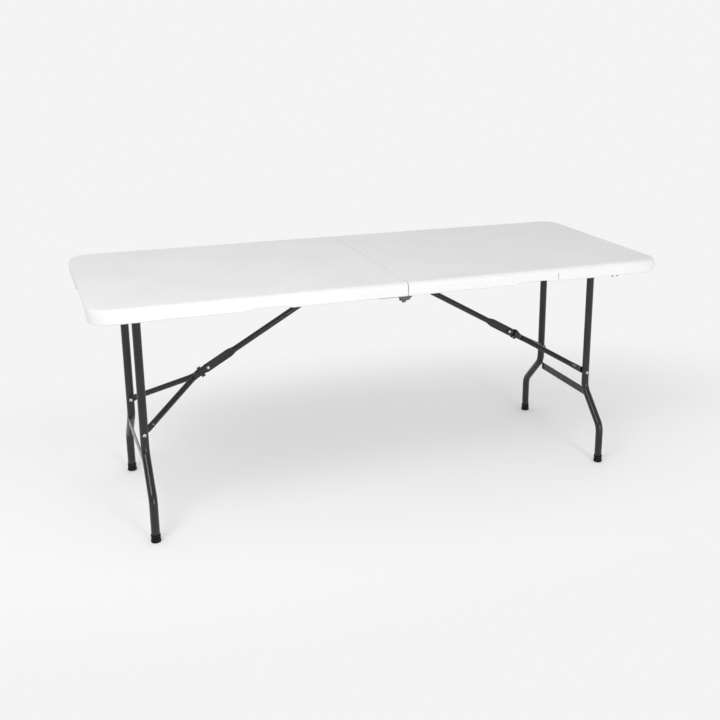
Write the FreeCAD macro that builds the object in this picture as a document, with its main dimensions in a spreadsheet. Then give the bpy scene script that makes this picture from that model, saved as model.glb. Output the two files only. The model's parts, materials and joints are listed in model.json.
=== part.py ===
import FreeCAD, Part
import math
import os

import Sketcher
from FreeCAD import Placement, Rotation, Vector

# A folding table that closes like a suitcase: two moulded halves hinged in the
# middle, and under each half a tubular leg frame held open by a folding brace.
# Millimetres. +X runs along the table, -Y is the front edge, +Z is up, and the
# origin is on the floor under the middle of the table.

doc = FreeCAD.newDocument("folding_table")

# ---------------------------------------------------------------- sizes

SIZES = (
    ("table_height", 740, "floor to the top face"),
    ("top_length", 1800, "both halves together, end to end"),
    ("top_width", 740, "front edge to back edge"),
    ("rim_depth", 42, "height of the moulded edge"),
    ("rim_wall", 28, "thickness of the hollow moulded edge"),
    ("panel_thickness", 12, "moulded panel inside the edge"),
    ("centre_wall", 18, "cross wall beside the middle joint"),
    ("centre_gap", 1.6, "between the halves"),
    ("corner_radius", 65, "plan corners"),
    ("top_edge_radius", 9, "rounding of the upper edge"),
    ("under_edge_radius", 5, "rounding of the lower edge"),
    ("joint_edge_radius", 3, "rounding of the edges at the middle joint"),
    ("grip_inner", 376, "hand grip, end nearer the middle"),
    ("grip_outer", 462, "hand grip, end nearer the leg"),
    ("grip_ramp", 26, "run of the slope at each end of the grip"),
    ("grip_rise", 6, "how far the lower edge rises at the grip"),
    ("end_rise", 18, "how far the lower edge rises along the end"),
    ("end_rise_start", 50, "where along the width the end rise begins"),
    ("rail_centre", 315, "middle of a side rail from the table's centre line"),
    ("rail_width", 20, "side rail, across"),
    ("rail_depth", 37, "side rail, up and down"),
    ("rail_wall", 1.5, "side rail sheet"),
    ("rail_inner_end", 20, "from the middle joint to the rail"),
    ("rail_outer_end", 800, "from the middle joint to the rail's far end"),
    ("screw_diameter", 4, "rail screw shank"),
    ("screw_head", 9, "rail screw head"),
    ("screw_head_height", 2.4, "rail screw head"),
    ("screw_bite", 8, "screw length in the panel"),
    ("hinge_axis_drop", 20, "half hinge axis below the lower edge"),
    ("leaf_thickness", 3, "hinge leaf"),
    ("leaf_length", 80, "hinge leaf, from the axis"),
    ("leaf_ear_radius", 10, "hinge leaf round the pin"),
    ("leaf_neck", 12, "hinge leaf under the cross wall, up and down"),
    ("leaf_air", 1, "hinge leaf clear of the moulding"),
    ("leaf_top_drop", 4, "hinge leaf's upper edge below the panel"),
    ("leaf_web_length", 22, "deep part of the right leaf, from the axis"),
    ("leaf_corner", 4, "hinge leaf's far corners"),
    ("hinge_pin_diameter", 8, "half hinge pin"),
    ("pivot_x", 758, "leg frame from the middle joint"),
    ("pivot_drop", 22, "leg pivot below the panel"),
    ("pivot_diameter", 20, "leg pivot tube"),
    ("brace_pivot_x", 36, "brace pivot from the middle joint"),
    ("brace_pivot_drop", 16, "brace pivot below the panel"),
    ("brace_pivot_diameter", 18, "brace pivot tube"),
    ("pivot_overhang", 4, "pivot tube past the side rail"),
    ("tube_wall", 1.5, "wall of every tube"),
    ("bush_wall", 1.6, "plastic bush round a pivot tube"),
    ("bush_flange", 2, "bush flange, thickness"),
    ("bush_flange_step", 2, "bush flange, beyond the sleeve"),
    ("running_clearance", 0.05, "radial play where a tube or pin turns"),
    ("leg_diameter", 25, "leg tube"),
    ("leg_offset", 161, "upper leg from the centre line"),
    ("foot_offset", 270, "foot from the centre line"),
    ("bend_start_height", 264, "where the leg starts to bend out"),
    ("bend_end_height", 108, "where the leg is upright again"),
    ("bend_radius", 55, "leg bend, to the tube's centre line"),
    ("leg_top_above_pivot", 4, "leg tube's top above the pivot"),
    ("cap_diameter", 30, "foot cap"),
    ("cap_height", 25, "foot cap"),
    ("cap_floor", 4, "rubber under the leg tube"),
    ("cap_chamfer", 2, "foot cap's lower edge"),
    ("fit_clearance", 0.1, "radial play of a pushed-on piece"),
    ("stay_height", 26, "flat cross stay, up and down"),
    ("stay_thickness", 3, "flat cross stay"),
    ("stay_level", 219, "cross stay above the floor"),
    ("stay_set_out", 8, "cross stay outward of the leg's centre line"),
    ("leg_rivet_level", 297, "brace rivet on the leg, above the floor"),
    ("rivet_diameter", 8, "rivet shank"),
    ("rivet_head", 11, "rivet head"),
    ("rivet_head_height", 2.2, "rivet head"),
    ("rivet_head_sink", 0.6, "a leg rivet's head into the round of the tube"),
    ("small_rivet_head", 6, "small rivet head"),
    ("small_rivet_diameter", 4, "small rivet shank"),
    ("small_rivet_height", 1.5, "small rivet head"),
    ("link_diameter", 19, "brace link tube"),
    ("link_flat_width", 28, "pressed end of the link"),
    ("link_flat_thickness", 4, "pressed end of the link"),
    ("link_flat_length", 72, "joint to the start of the taper"),
    ("link_taper", 30, "pressed flat to round tube"),
    ("link_tail", 17, "pressed flat past the joint, at full width"),
    ("link_tail_round", 0.75, "rounding of the link's end over half its width"),
    ("link_tongue", 47, "narrow tongue past the joint"),
    ("link_tongue_top", 13, "tongue's upper edge above the brace's centre line"),
    ("link_tongue_width", 17, "tongue, up and down"),
    ("link_rivet_back", 60, "ring stop, back from the joint"),
    ("link_rivet_rise", 9, "ring stop above the brace's centre line"),
    ("fold_slack", 0.06, "what keeps the folded knee off the dead point"),
    ("arm_diameter", 18, "brace arm tube"),
    ("arm_flat_width", 20, "pressed ends of an arm"),
    ("arm_flat_thickness", 3, "pressed ends of an arm"),
    ("arm_straight", 50, "arm beside the link, from the joint"),
    ("arm_foot", 16, "arm beside the leg, up to the rivet"),
    ("arm_foot_tail", 11, "arm past the leg rivet"),
    ("arm_taper", 22, "pressed flat to round tube"),
    ("sliding_gap", 0.3, "between flats that turn on each other"),
    ("leg_gap", 1.2, "between an arm and its leg"),
    ("ring_centre", 25, "lock ring, on from the joint"),
    ("ring_length", 12, "lock ring along the brace"),
    ("ring_wall", 1.6, "lock ring"),
    ("ring_play", 0.3, "lock ring over the link"),
    ("stud_x", 716, "first locating stud from the middle joint"),
    ("stud_pitch", 17.5, "between the two studs"),
    ("stud_inset", 12, "stud from the front edge"),
    ("stud_diameter", 7, "locating stud"),
    ("stud_length", 5, "locating stud below the lower edge"),
    ("stud_tip_share", 0.98, "height of a stud's domed tip over its radius"),
    ("stud_socket_play", 1, "radial play of the socket in the other half"),
)

sheet = doc.addObject("Spreadsheet::Sheet", "Sizes")
for row, (alias, number, note) in enumerate(SIZES, 1):
    sheet.set(f"A{row}", note)
    sheet.set(f"B{row}", str(number))
    sheet.setAlias(f"B{row}", alias)
doc.recompute()


class Size:
    """A length or angle: its present value and the sheet expression that gives it."""

    def __init__(self, value, text):
        self.value = float(value)
        self.text = text

    @staticmethod
    def of(other):
        """Take a Size as it is, and a plain number as a constant."""
        return other if isinstance(other, Size) else Size(other, f"({float(other)})")

    def _with(self, other, sign, value):
        return Size(value, f"({self.text} {sign} {other.text})")

    def __add__(self, other):
        other = Size.of(other)
        return self._with(other, "+", self.value + other.value)

    def __sub__(self, other):
        other = Size.of(other)
        return self._with(other, "-", self.value - other.value)

    def __mul__(self, other):
        other = Size.of(other)
        return self._with(other, "*", self.value * other.value)

    def __truediv__(self, other):
        other = Size.of(other)
        return self._with(other, "/", self.value / other.value)

    def __neg__(self):
        return self * -1

    def __radd__(self, other):
        return Size.of(other) + self

    def __rsub__(self, other):
        return Size.of(other) - self

    def __rmul__(self, other):
        return self * other


def hypotenuse(a, b):
    """The long side over two square sides."""
    return Size(math.hypot(a.value, b.value), f"hypot({a.text}; {b.text})")


def slope_angle(rise, run):
    """The angle, in degrees, of a line with this rise and run."""
    return Size(math.degrees(math.atan2(rise.value, run.value)), f"atan2({rise.text}; {run.text})")


def arcsine(ratio):
    """The angle, in degrees, whose sine is this ratio."""
    return Size(math.degrees(math.asin(ratio.value)), f"asin({ratio.text})")


S = {alias: Size(sheet.get(alias), f"Sizes.{alias}") for alias, _, _ in SIZES}

# Levels and places that several pieces share.
half_length = S["top_length"] / 2
half_width = S["top_width"] / 2
lower_edge = S["table_height"] - S["rim_depth"]
panel_under = S["table_height"] - S["panel_thickness"]
hinge_level = lower_edge - S["hinge_axis_drop"]
pivot_level = panel_under - S["pivot_drop"]
brace_pivot_level = panel_under - S["brace_pivot_drop"]
rail_inner_face = S["rail_centre"] - S["rail_width"] / 2
rail_outer_face = S["rail_centre"] + S["rail_width"] / 2
rail_bottom = panel_under - S["rail_depth"]
pivot_reach = rail_outer_face + S["pivot_overhang"]
leg_inner_face = S["leg_offset"] - S["leg_diameter"] / 2

# The brace is straight when the leg stands: from the pivot near the middle joint
# to the rivet on the leg. Folded, the leg rivet lies out at the leg pivot's level,
# and link and arms lie back along each other.
brace_run = S["pivot_x"] - S["brace_pivot_x"]
brace_rise = brace_pivot_level - S["leg_rivet_level"]
brace_length = hypotenuse(brace_run, brace_rise)
brace_angle = slope_angle(brace_rise, brace_run)
rivet_swing = pivot_level - S["leg_rivet_level"]
folded_span = hypotenuse(brace_run - rivet_swing, brace_pivot_level - pivot_level)
link_length = (brace_length + folded_span - S["fold_slack"]) / 2
arm_length = (brace_length - folded_span + S["fold_slack"]) / 2

SIDES = (("left", -1), ("right", 1))
FACES = (("front", -1), ("back", 1))
DOWNWARD = Rotation(Vector(1, 0, 0), 180)


def along_brace(side, past_joint):
    """The X and Z of a point on the brace's centre line, measured on from its joint."""
    share = (link_length + past_joint) / brace_length
    return side * (S["brace_pivot_x"] + brace_run * share), brace_pivot_level - brace_rise * share


# ---------------------------------------------------------------- helpers


def bind(obj, **sizes):
    """Give properties of an object their sheet expressions; __ stands for a dot."""
    for name, size in sizes.items():
        obj.setExpression(name.replace("__", "."), Size.of(size).text)
    return obj


def put(obj, x=0, y=0, z=0, rotation=None):
    """Place an object, with each coordinate bound to the sheet."""
    places = [Size.of(v) for v in (x, y, z)]
    obj.Placement = Placement(Vector(*[p.value for p in places]), rotation or Rotation())
    x, y, z = places
    return bind(obj, Placement__Base__x=x, Placement__Base__y=y, Placement__Base__z=z)


def across(forward):
    """The rotation that turns +Z to +Y, or to -Y."""
    return Rotation(Vector(1, 0, 0), -90 if forward > 0 else 90)


def cylinder(name, radius, height, x, y, z, forward=1):
    """A round bar along Y from the point given, towards +Y or -Y."""
    bar = doc.addObject("Part::Cylinder", name)
    bind(bar, Radius=radius, Height=height)
    return put(bar, x, y, z, across(forward))


def upright(name, radius, height, x, y, z):
    """A round bar that stands on the point given."""
    bar = doc.addObject("Part::Cylinder", name)
    bind(bar, Radius=radius, Height=height)
    return put(bar, x, y, z)


def dome(name, radius, height, x, y, z, rotation):
    """A domed head: a slice of a ball whose flat face is at the point given."""
    ball_radius = (radius * radius + height * height) / (2 * height)
    ball = doc.addObject("Part::Sphere", name)
    bind(ball, Radius=ball_radius, Angle1=arcsine((ball_radius - height) / ball_radius))
    ball.Angle2 = 90
    sink = ball_radius - height
    axis = rotation.multVec(Vector(0, 0, 1))
    return put(ball, x - sink * axis.x, y - sink * axis.y, z - sink * axis.z, rotation)


def fuse(name, shapes):
    """One solid out of several that touch."""
    whole = doc.addObject("Part::MultiFuse", name)
    whole.Shapes = shapes
    return whole


def cut(name, base, tool):
    """The base less the tool."""
    rest = doc.addObject("Part::Cut", name)
    rest.Base = base
    rest.Tool = tool
    return rest


def group(name, shapes):
    """Equal loose pieces kept as one node."""
    whole = doc.addObject("Part::Compound", name)
    whole.Links = shapes
    return whole


def tube(name, diameter, x, z, half_reach):
    """An open tube along Y, from -half_reach to +half_reach."""
    outer = cylinder(name + "_outer", diameter / 2, 2 * half_reach, x, -half_reach, z)
    inner = cylinder(name + "_bore", diameter / 2 - S["tube_wall"], 2 * half_reach, x, -half_reach, z)
    return cut(name, outer, inner)


def new_body(label):
    """An empty PartDesign body whose label names its file."""
    body = doc.addObject("PartDesign::Body", label)
    body.Label = label
    return body


def new_sketch(body, role, name, offset=0):
    """A sketch on one of the body's own origin planes, set off along its normal."""
    sketch = body.newObject("Sketcher::SketchObject", name)
    plane = next(f for f in body.Origin.OriginFeatures if f.Role == role)
    sketch.AttachmentSupport = [(plane, "")]
    sketch.MapMode = "FlatFace"
    return bind(sketch, AttachmentOffset__Base__z=offset)


def dimension(sketch, kind, *where_and_size):
    """A dimension bound to the sheet."""
    *where, size = where_and_size
    size = Size.of(size)
    index = sketch.addConstraint(Sketcher.Constraint(kind, *where, size.value))
    sketch.setExpression(f"Constraints[{index}]", size.text)


def polygon(sketch, corners):
    """A closed outline; each corner has its two dimensions from the origin."""
    corners = [(Size.of(u), Size.of(v)) for u, v in corners]
    points = [Vector(u.value, v.value, 0) for u, v in corners]
    first = sketch.GeometryCount
    count = len(points)
    for i, point in enumerate(points):
        sketch.addGeometry(Part.LineSegment(point, points[(i + 1) % count]), False)
    for i, (u, v) in enumerate(corners):
        sketch.addConstraint(Sketcher.Constraint("Coincident", first + i, 2, first + (i + 1) % count, 1))
        dimension(sketch, "DistanceX", -1, 1, first + i, 1, u)
        dimension(sketch, "DistanceY", -1, 1, first + i, 1, v)


def circle(sketch, u, v, radius):
    """A circle with its centre and radius bound."""
    u, v, radius = (Size.of(s) for s in (u, v, radius))
    ring = Part.Circle(Vector(u.value, v.value, 0), Vector(0, 0, 1), radius.value)
    index = sketch.addGeometry(ring, False)
    dimension(sketch, "DistanceX", -1, 1, index, 3, u)
    dimension(sketch, "DistanceY", -1, 1, index, 3, v)
    dimension(sketch, "Radius", index, radius)


def pad(body, name, sketch, length):
    """Raise a sketch along its normal."""
    feature = body.newObject("PartDesign::Pad", name)
    feature.Profile = sketch
    return bind(feature, Length=length)


def pocket(body, name, sketch, depth=None, upward=False):
    """Cut a sketch into the body; without a depth it goes right through both ways."""
    before = volume_now(body)
    feature = body.newObject("PartDesign::Pocket", name)
    feature.Profile = sketch
    feature.Reversed = upward
    if depth is None:
        feature.Midplane = True
        feature.Type = "ThroughAll"
    else:
        bind(feature, Length=depth)
    if volume_now(body) >= before:
        raise RuntimeError(f"{name} removed nothing")
    return feature


def volume_now(body):
    """The body's volume with everything made so far."""
    doc.recompute()
    return body.Shape.Volume


def round_edges(body, name, radius, wanted):
    """Round the edges of the body that the test picks by their middle point and direction."""
    doc.recompute()
    names = []
    for index, edge in enumerate(body.Tip.Shape.Edges, 1):
        middle = edge.valueAt((edge.FirstParameter + edge.LastParameter) / 2)
        start, end = edge.valueAt(edge.FirstParameter), edge.valueAt(edge.LastParameter)
        if wanted(middle, end - start):
            names.append(f"Edge{index}")
    feature = body.newObject("PartDesign::Fillet", name)
    feature.Base = (body.Tip, names) if body.Tip is not feature else (feature.BaseFeature, names)
    bind(feature, Radius=radius)
    doc.recompute()
    return feature


def near(a, b):
    """Equal within a hundredth of a millimetre."""
    return abs(a - Size.of(b).value) < 0.01


nodes = []


def keep(obj, label):
    """Name a finished piece and put it on the list of nodes."""
    obj.Label = label
    nodes.append(obj)
    return obj


# ---------------------------------------------------------------- table top

SCREW_SHARES = (0.08, 0.36, 0.64, 0.92)


def screw_places():
    """Distances from the middle joint of the screws along one rail."""
    run = S["rail_outer_end"] - S["rail_inner_end"]
    return [S["rail_inner_end"] + run * share for share in SCREW_SHARES]


def top_half(name, side):
    """One moulded half: a deep rounded edge round a thin panel, open below."""
    body = new_body(f"{name}_top")
    joint = S["centre_gap"] / 2
    blank = new_sketch(body, "XY_Plane", f"{name}_plan", lower_edge)
    x0, x1 = side * joint, side * half_length
    polygon(blank, ((x0, -half_width), (x1, -half_width), (x1, half_width), (x0, half_width)))
    pad(body, f"{name}_block", blank, S["rim_depth"])

    def outer_corner(middle, run):
        return abs(run.z) > 1 and near(middle.x, x1)

    def joint_edge(middle, run):
        return near(middle.x, x0) and (abs(run.z) > 1 or near(middle.z, S["table_height"]))

    def upper_edge(middle, run):
        outer = abs(middle.x) > joint.value + S["joint_edge_radius"].value + 1
        return near(middle.z, S["table_height"]) and outer

    def under_edge(middle, run):
        outer = abs(middle.x) > joint.value + S["joint_edge_radius"].value + 1
        return near(middle.z, lower_edge) and outer

    round_edges(body, f"{name}_corners", S["corner_radius"], outer_corner)
    round_edges(body, f"{name}_upper_round", S["top_edge_radius"], upper_edge)
    round_edges(body, f"{name}_under_round", S["under_edge_radius"], under_edge)
    round_edges(body, f"{name}_joint_round", S["joint_edge_radius"], joint_edge)

    well = new_sketch(body, "XY_Plane", f"{name}_well_plan", lower_edge)
    w0 = side * (joint + S["centre_wall"])
    w1 = side * (half_length - S["rim_wall"])
    wy = half_width - S["rim_wall"]
    polygon(well, ((w0, -wy), (w1, -wy), (w1, wy), (w0, wy)))
    pocket(body, f"{name}_well", well, S["rim_depth"] - S["panel_thickness"], upward=True)

    def well_corner(middle, run):
        return abs(run.z) > 1 and near(middle.x, w1) and near(abs(middle.y), wy)

    round_edges(body, f"{name}_well_corners", S["corner_radius"] - S["rim_wall"], well_corner)

    grip = new_sketch(body, "XZ_Plane", f"{name}_grip_outline")
    below = lower_edge - S["grip_rise"]
    above = lower_edge + S["grip_rise"]
    g0, g1 = side * S["grip_inner"], side * S["grip_outer"]
    r0 = side * (S["grip_inner"] - 2 * S["grip_ramp"])
    r1 = side * (S["grip_outer"] + 2 * S["grip_ramp"])
    polygon(grip, ((r0, below), (r1, below), (g1, above), (g0, above)))
    pocket(body, f"{name}_grip", grip)

    step = new_sketch(body, "YZ_Plane", f"{name}_end_outline", side * (half_length + 1))
    e0 = -side * S["end_rise_start"]
    e1 = side * (half_width - S["corner_radius"])
    corners = ((e0, lower_edge - 1), (e1, lower_edge - 1), (e1, lower_edge + S["end_rise"]),
               (e0, lower_edge + S["end_rise"]))
    polygon(step, corners)
    pocket(body, f"{name}_end_step", step, S["rim_wall"] + 2, upward=side < 0)

    pilots = new_sketch(body, "XY_Plane", f"{name}_pilot_plan", panel_under)
    for x in screw_places():
        for face in (-1, 1):
            circle(pilots, side * x, face * S["rail_centre"], S["screw_diameter"] / 2)
    pocket(body, f"{name}_pilots", pilots, S["screw_bite"], upward=True)

    if side < 0:
        sockets = new_sketch(body, "XY_Plane", f"{name}_socket_plan", lower_edge)
        for number in (0, 1):
            x = S["stud_x"] + number * S["stud_pitch"]
            radius = S["stud_diameter"] / 2 + S["stud_socket_play"]
            circle(sockets, side * x, -(half_width - S["stud_inset"]), radius)
        pocket(body, f"{name}_sockets", sockets, S["stud_length"], upward=True)
    return keep(body, f"{name}_top")


def locating_studs():
    """Two rubber studs under the right half's front edge; the left half has their sockets."""
    studs = []
    for number in (0, 1):
        x = S["stud_x"] + number * S["stud_pitch"]
        y = -(half_width - S["stud_inset"])
        radius = S["stud_diameter"] / 2
        shank = S["stud_length"] - radius
        post = upright(f"stud_post_{number}", radius, shank, x, y, lower_edge - shank)
        tip = dome(f"stud_tip_{number}", radius, radius * S["stud_tip_share"], x, y, lower_edge - shank,
                   DOWNWARD)
        studs.append(fuse(f"stud_{number}", [post, tip]))
    return keep(group("studs", studs), "locating_studs")


# ---------------------------------------------------------------- side rails and half hinge


def side_rail(name, side, face_name, face):
    """A sheet channel, open below, that carries both pivot tubes of its half."""
    body = new_body(f"{name}_{face_name}_rail")
    section = new_sketch(body, "YZ_Plane", f"{name}_{face_name}_rail_section")
    y0, y1 = face * rail_inner_face, face * rail_outer_face
    i0, i1 = face * (rail_inner_face + S["rail_wall"]), face * (rail_outer_face - S["rail_wall"])
    web = panel_under - S["rail_wall"]
    polygon(section, ((y0, rail_bottom), (i0, rail_bottom), (i0, web), (i1, web), (i1, rail_bottom),
                      (y1, rail_bottom), (y1, panel_under), (y0, panel_under)))
    length = S["rail_outer_end"] - S["rail_inner_end"]
    start = S["rail_inner_end"] if side > 0 else -S["rail_outer_end"]
    bind(section, AttachmentOffset__Base__z=start)
    pad(body, f"{name}_{face_name}_channel", section, length)

    holes = new_sketch(body, "XZ_Plane", f"{name}_{face_name}_bush_holes")
    for x, level, diameter in pivot_seats():
        circle(holes, side * x, level, bush_radius(diameter))
    pocket(body, f"{name}_{face_name}_bush_cut", holes)

    drills = new_sketch(body, "XY_Plane", f"{name}_{face_name}_screw_holes", web - 1)
    for x in screw_places():
        circle(drills, side * x, face * S["rail_centre"], S["screw_diameter"] / 2)
    pocket(body, f"{name}_{face_name}_screw_cut", drills, S["rail_wall"] + 2, upward=True)
    return keep(body, f"{name}_{face_name}_rail")


def pivot_seats():
    """X from the middle joint, level and tube diameter of a half's two pivots."""
    return ((S["pivot_x"], pivot_level, S["pivot_diameter"]),
            (S["brace_pivot_x"], brace_pivot_level, S["brace_pivot_diameter"]))


def bush_radius(diameter):
    """Outer radius of the bush round a pivot tube of this diameter."""
    return diameter / 2 + S["running_clearance"] + S["bush_wall"]


def rail_screws(name, side):
    """The pan-head screws that hold both rails of a half to its panel."""
    screws = []
    web = panel_under - S["rail_wall"]
    for number, x in enumerate(screw_places()):
        for face_name, face in FACES:
            tag = f"{name}_{face_name}_screw_{number}"
            y = face * S["rail_centre"]
            length = S["screw_bite"] + S["rail_wall"]
            shank = upright(f"{tag}_shank", S["screw_diameter"] / 2, length, side * x, y, web)
            head = dome(f"{tag}_head", S["screw_head"] / 2, S["screw_head_height"], side * x, y, web,
                        DOWNWARD)
            screws.append(fuse(tag, [shank, head]))
    return keep(group(f"{name}_screws", screws), f"{name}_rail_screws")


def pivot_bushes(name, side, kind, seat):
    """The two flanged plastic bushes of one pivot tube."""
    x, level, diameter = seat
    bushes = []
    for face_name, face in FACES:
        tag = f"{name}_{kind}_{face_name}_bush"
        start = face * (rail_inner_face - S["bush_flange"])
        length = S["rail_width"] + S["bush_flange"]
        outer = bush_radius(diameter)
        bore = diameter / 2 + S["running_clearance"]
        rim = outer + S["bush_flange_step"]
        sleeve = cylinder(f"{tag}_sleeve", outer, length, side * x, start, level, face)
        flange = cylinder(f"{tag}_flange", rim, S["bush_flange"], side * x, start, level, face)
        hole = cylinder(f"{tag}_bore", bore, length, side * x, start, level, face)
        bushes.append(cut(tag, fuse(f"{tag}_blank", [sleeve, flange]), hole))
    return keep(group(f"{name}_{kind}_bushes", bushes), f"{name}_{kind}_bushes")


def hinge_leaf(name, side, face_name, face):
    """A plate on the rail with an ear on the pin; the right one is deep beside the ear."""
    body = new_body(f"{name}_{face_name}_hinge_leaf")
    tag = f"{name}_{face_name}_leaf"
    inner_side = rail_inner_face - S["leaf_thickness"] if side > 0 else rail_outer_face
    plane = inner_side + S["leaf_thickness"] if face > 0 else -inner_side
    ear_bottom = hinge_level - S["leaf_ear_radius"]
    neck_top = lower_edge - S["leaf_air"]
    neck_bottom = lower_edge - S["leaf_neck"]
    top = panel_under - S["leaf_top_drop"]
    step = S["rail_inner_end"] + S["leaf_air"]
    far = S["leaf_length"]
    start = S["leaf_ear_radius"] / 2
    if side > 0:
        web = S["leaf_web_length"]
        under = ((0, ear_bottom), (web, ear_bottom), (web + neck_bottom - ear_bottom, neck_bottom))
        above = ((start, neck_top), (0, hinge_level + start))
    else:
        under = ((0, hinge_level), (start, neck_bottom))
        above = ((0, neck_top),)
    outline = new_sketch(body, "XZ_Plane", f"{tag}_outline", -plane)
    around = under + ((far, neck_bottom), (far, top), (step, top), (step, neck_top)) + above
    polygon(outline, [(side * u, v) for u, v in around])
    pad(body, f"{tag}_plate", outline, S["leaf_thickness"])
    ear = new_sketch(body, "XZ_Plane", f"{tag}_ear_outline", -plane)
    circle(ear, 0, hinge_level, S["leaf_ear_radius"])
    pad(body, f"{tag}_ear", ear, S["leaf_thickness"])

    def far_edge(middle, run):
        return abs(run.y) > 1 and near(middle.x, side * far)

    round_edges(body, f"{tag}_corners", S["leaf_corner"], far_edge)
    hole = new_sketch(body, "XZ_Plane", f"{tag}_pin_hole")
    circle(hole, 0, hinge_level, S["hinge_pin_diameter"] / 2 + S["running_clearance"])
    pocket(body, f"{tag}_pin_cut", hole)
    room = bush_radius(S["brace_pivot_diameter"]) + S["bush_flange_step"] + S["fit_clearance"]
    seat = new_sketch(body, "XZ_Plane", f"{tag}_bush_hole")
    circle(seat, side * S["brace_pivot_x"], brace_pivot_level, room)
    pocket(body, f"{tag}_bush_cut", seat)
    mouth = new_sketch(body, "XZ_Plane", f"{tag}_bush_mouth")
    m0 = side * (S["brace_pivot_x"] - room)
    m1 = side * (S["brace_pivot_x"] + room)
    polygon(mouth, ((m0, brace_pivot_level), (m1, brace_pivot_level), (m1, panel_under), (m0, panel_under)))
    pocket(body, f"{tag}_mouth_cut", mouth)
    return keep(body, f"{name}_{face_name}_hinge_leaf")


def hinge_pin(face_name, face):
    """The headed pin through both leaves of one side."""
    start = rail_inner_face - S["leaf_thickness"] - S["sliding_gap"]
    length = S["rail_width"] + 2 * S["leaf_thickness"] + 2 * S["sliding_gap"]
    shank = cylinder(f"{face_name}_pin_shank", S["hinge_pin_diameter"] / 2, length, 0, face * start,
                     hinge_level, face)
    heads = []
    for end, reach, turn in (("inner", start, -face), ("outer", start + length, face)):
        heads.append(dome(f"{face_name}_pin_{end}_head", S["rivet_head"] / 2, S["rivet_head_height"], 0,
                          face * reach, hinge_level, across(turn)))
    return keep(fuse(f"{face_name}_pin", [shank] + heads), f"{face_name}_hinge_pin")


# ---------------------------------------------------------------- leg frame


def leg_tube(name, side, face_name, face):
    """One bent leg: upright, an outward double bend, and upright again into the foot."""
    body = new_body(f"{name}_{face_name}_leg")
    radius = S["bend_radius"]
    top = pivot_level + S["leg_top_above_pivot"]
    path = new_sketch(body, "YZ_Plane", f"{name}_{face_name}_leg_path")
    y0, y1 = S["leg_offset"].value, S["foot_offset"].value
    z1, z2 = S["bend_start_height"].value, S["bend_end_height"].value
    bend = radius.value
    first = Vector(y0 + bend, z1, 0)
    second = Vector(y1 - bend, z2, 0)
    between = second - first
    turn = math.atan2(between.y, between.x) + math.acos(-2 * bend / between.Length)
    toward = Vector(math.cos(turn), math.sin(turn), 0)
    leave = first - toward * bend
    arrive = second + toward * bend

    def flip(point):
        return Vector(face * point.x, point.y, 0)

    def arc(centre, start, end):
        middle = (start + end) * 0.5 - centre
        middle = centre + middle.normalize() * bend
        return Part.Arc(flip(start), flip(middle), flip(end))

    bend_top, bend_foot = Vector(y0, z1, 0), Vector(y1, z2, 0)
    pieces = (
        Part.LineSegment(flip(Vector(y0, top.value, 0)), flip(bend_top)),
        arc(first, bend_top, leave),
        Part.LineSegment(flip(leave), flip(arrive)),
        arc(second, arrive, bend_foot),
        Part.LineSegment(flip(bend_foot), flip(Vector(y1, S["cap_floor"].value, 0))),
    )
    for piece in pieces:
        path.addGeometry(piece, False)
    # An arc's own start is its anticlockwise end, so the ends that meet are found by place.
    for number in range(4):
        joined = path.getPoint(number, 2) if number in (0, 2) else path.getPoint(number + 1, 1)
        a = 1 if (path.getPoint(number, 1) - joined).Length < 1e-4 else 2
        b = 1 if (path.getPoint(number + 1, 1) - joined).Length < 1e-4 else 2
        path.addConstraint(Sketcher.Constraint("Tangent", number, a, number + 1, b))
    path.addConstraint(Sketcher.Constraint("Vertical", 0))
    path.addConstraint(Sketcher.Constraint("Vertical", 4))
    for arc_index in (1, 3):
        dimension(path, "Radius", arc_index, radius)
    dimension(path, "DistanceX", -1, 1, 0, 1, face * S["leg_offset"])
    dimension(path, "DistanceY", -1, 1, 0, 1, top)
    dimension(path, "DistanceY", -1, 1, 0, 2, S["bend_start_height"])
    dimension(path, "DistanceY", -1, 1, 4, 1, S["bend_end_height"])
    dimension(path, "DistanceX", -1, 1, 4, 2, face * S["foot_offset"])
    dimension(path, "DistanceY", -1, 1, 4, 2, S["cap_floor"])

    section = new_sketch(body, "XY_Plane", f"{name}_{face_name}_leg_section", top)
    circle(section, 0, face * S["leg_offset"], S["leg_diameter"] / 2)
    circle(section, 0, face * S["leg_offset"], S["leg_diameter"] / 2 - S["tube_wall"])
    pipe = body.newObject("PartDesign::AdditivePipe", f"{name}_{face_name}_leg_pipe")
    pipe.Profile = section
    pipe.Spine = (path, [f"Edge{n}" for n in range(1, 6)])
    doc.recompute()

    holes = new_sketch(body, "XZ_Plane", f"{name}_{face_name}_leg_holes")
    circle(holes, 0, pivot_level, S["pivot_diameter"] / 2)
    circle(holes, 0, S["leg_rivet_level"], S["rivet_diameter"] / 2)
    pocket(body, f"{name}_{face_name}_leg_cope", holes)
    put(body, side * S["pivot_x"])
    return keep(body, f"{name}_{face_name}_leg")


def foot_cap(name, side, face_name, face):
    """A black rubber cup pushed on the end of a leg."""
    body = new_body(f"{name}_{face_name}_foot_cap")
    half = new_sketch(body, "XZ_Plane", f"{name}_{face_name}_cap_half")
    outer = S["cap_diameter"] / 2
    mouth = outer - S["cap_chamfer"] / 2
    bore = S["leg_diameter"] / 2 + S["fit_clearance"]
    polygon(half, ((0, 0), (outer - S["cap_chamfer"], 0), (outer, S["cap_chamfer"]),
                   (mouth, S["cap_height"]), (bore, S["cap_height"]), (bore, S["cap_floor"]),
                   (0, S["cap_floor"])))
    turned = body.newObject("PartDesign::Revolution", f"{name}_{face_name}_cap_turned")
    turned.Profile = half
    turned.ReferenceAxis = (half, ["V_Axis"])
    turned.Angle = 360
    put(body, side * S["pivot_x"], face * S["foot_offset"], 0)
    return keep(body, f"{name}_{face_name}_foot_cap")


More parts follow.
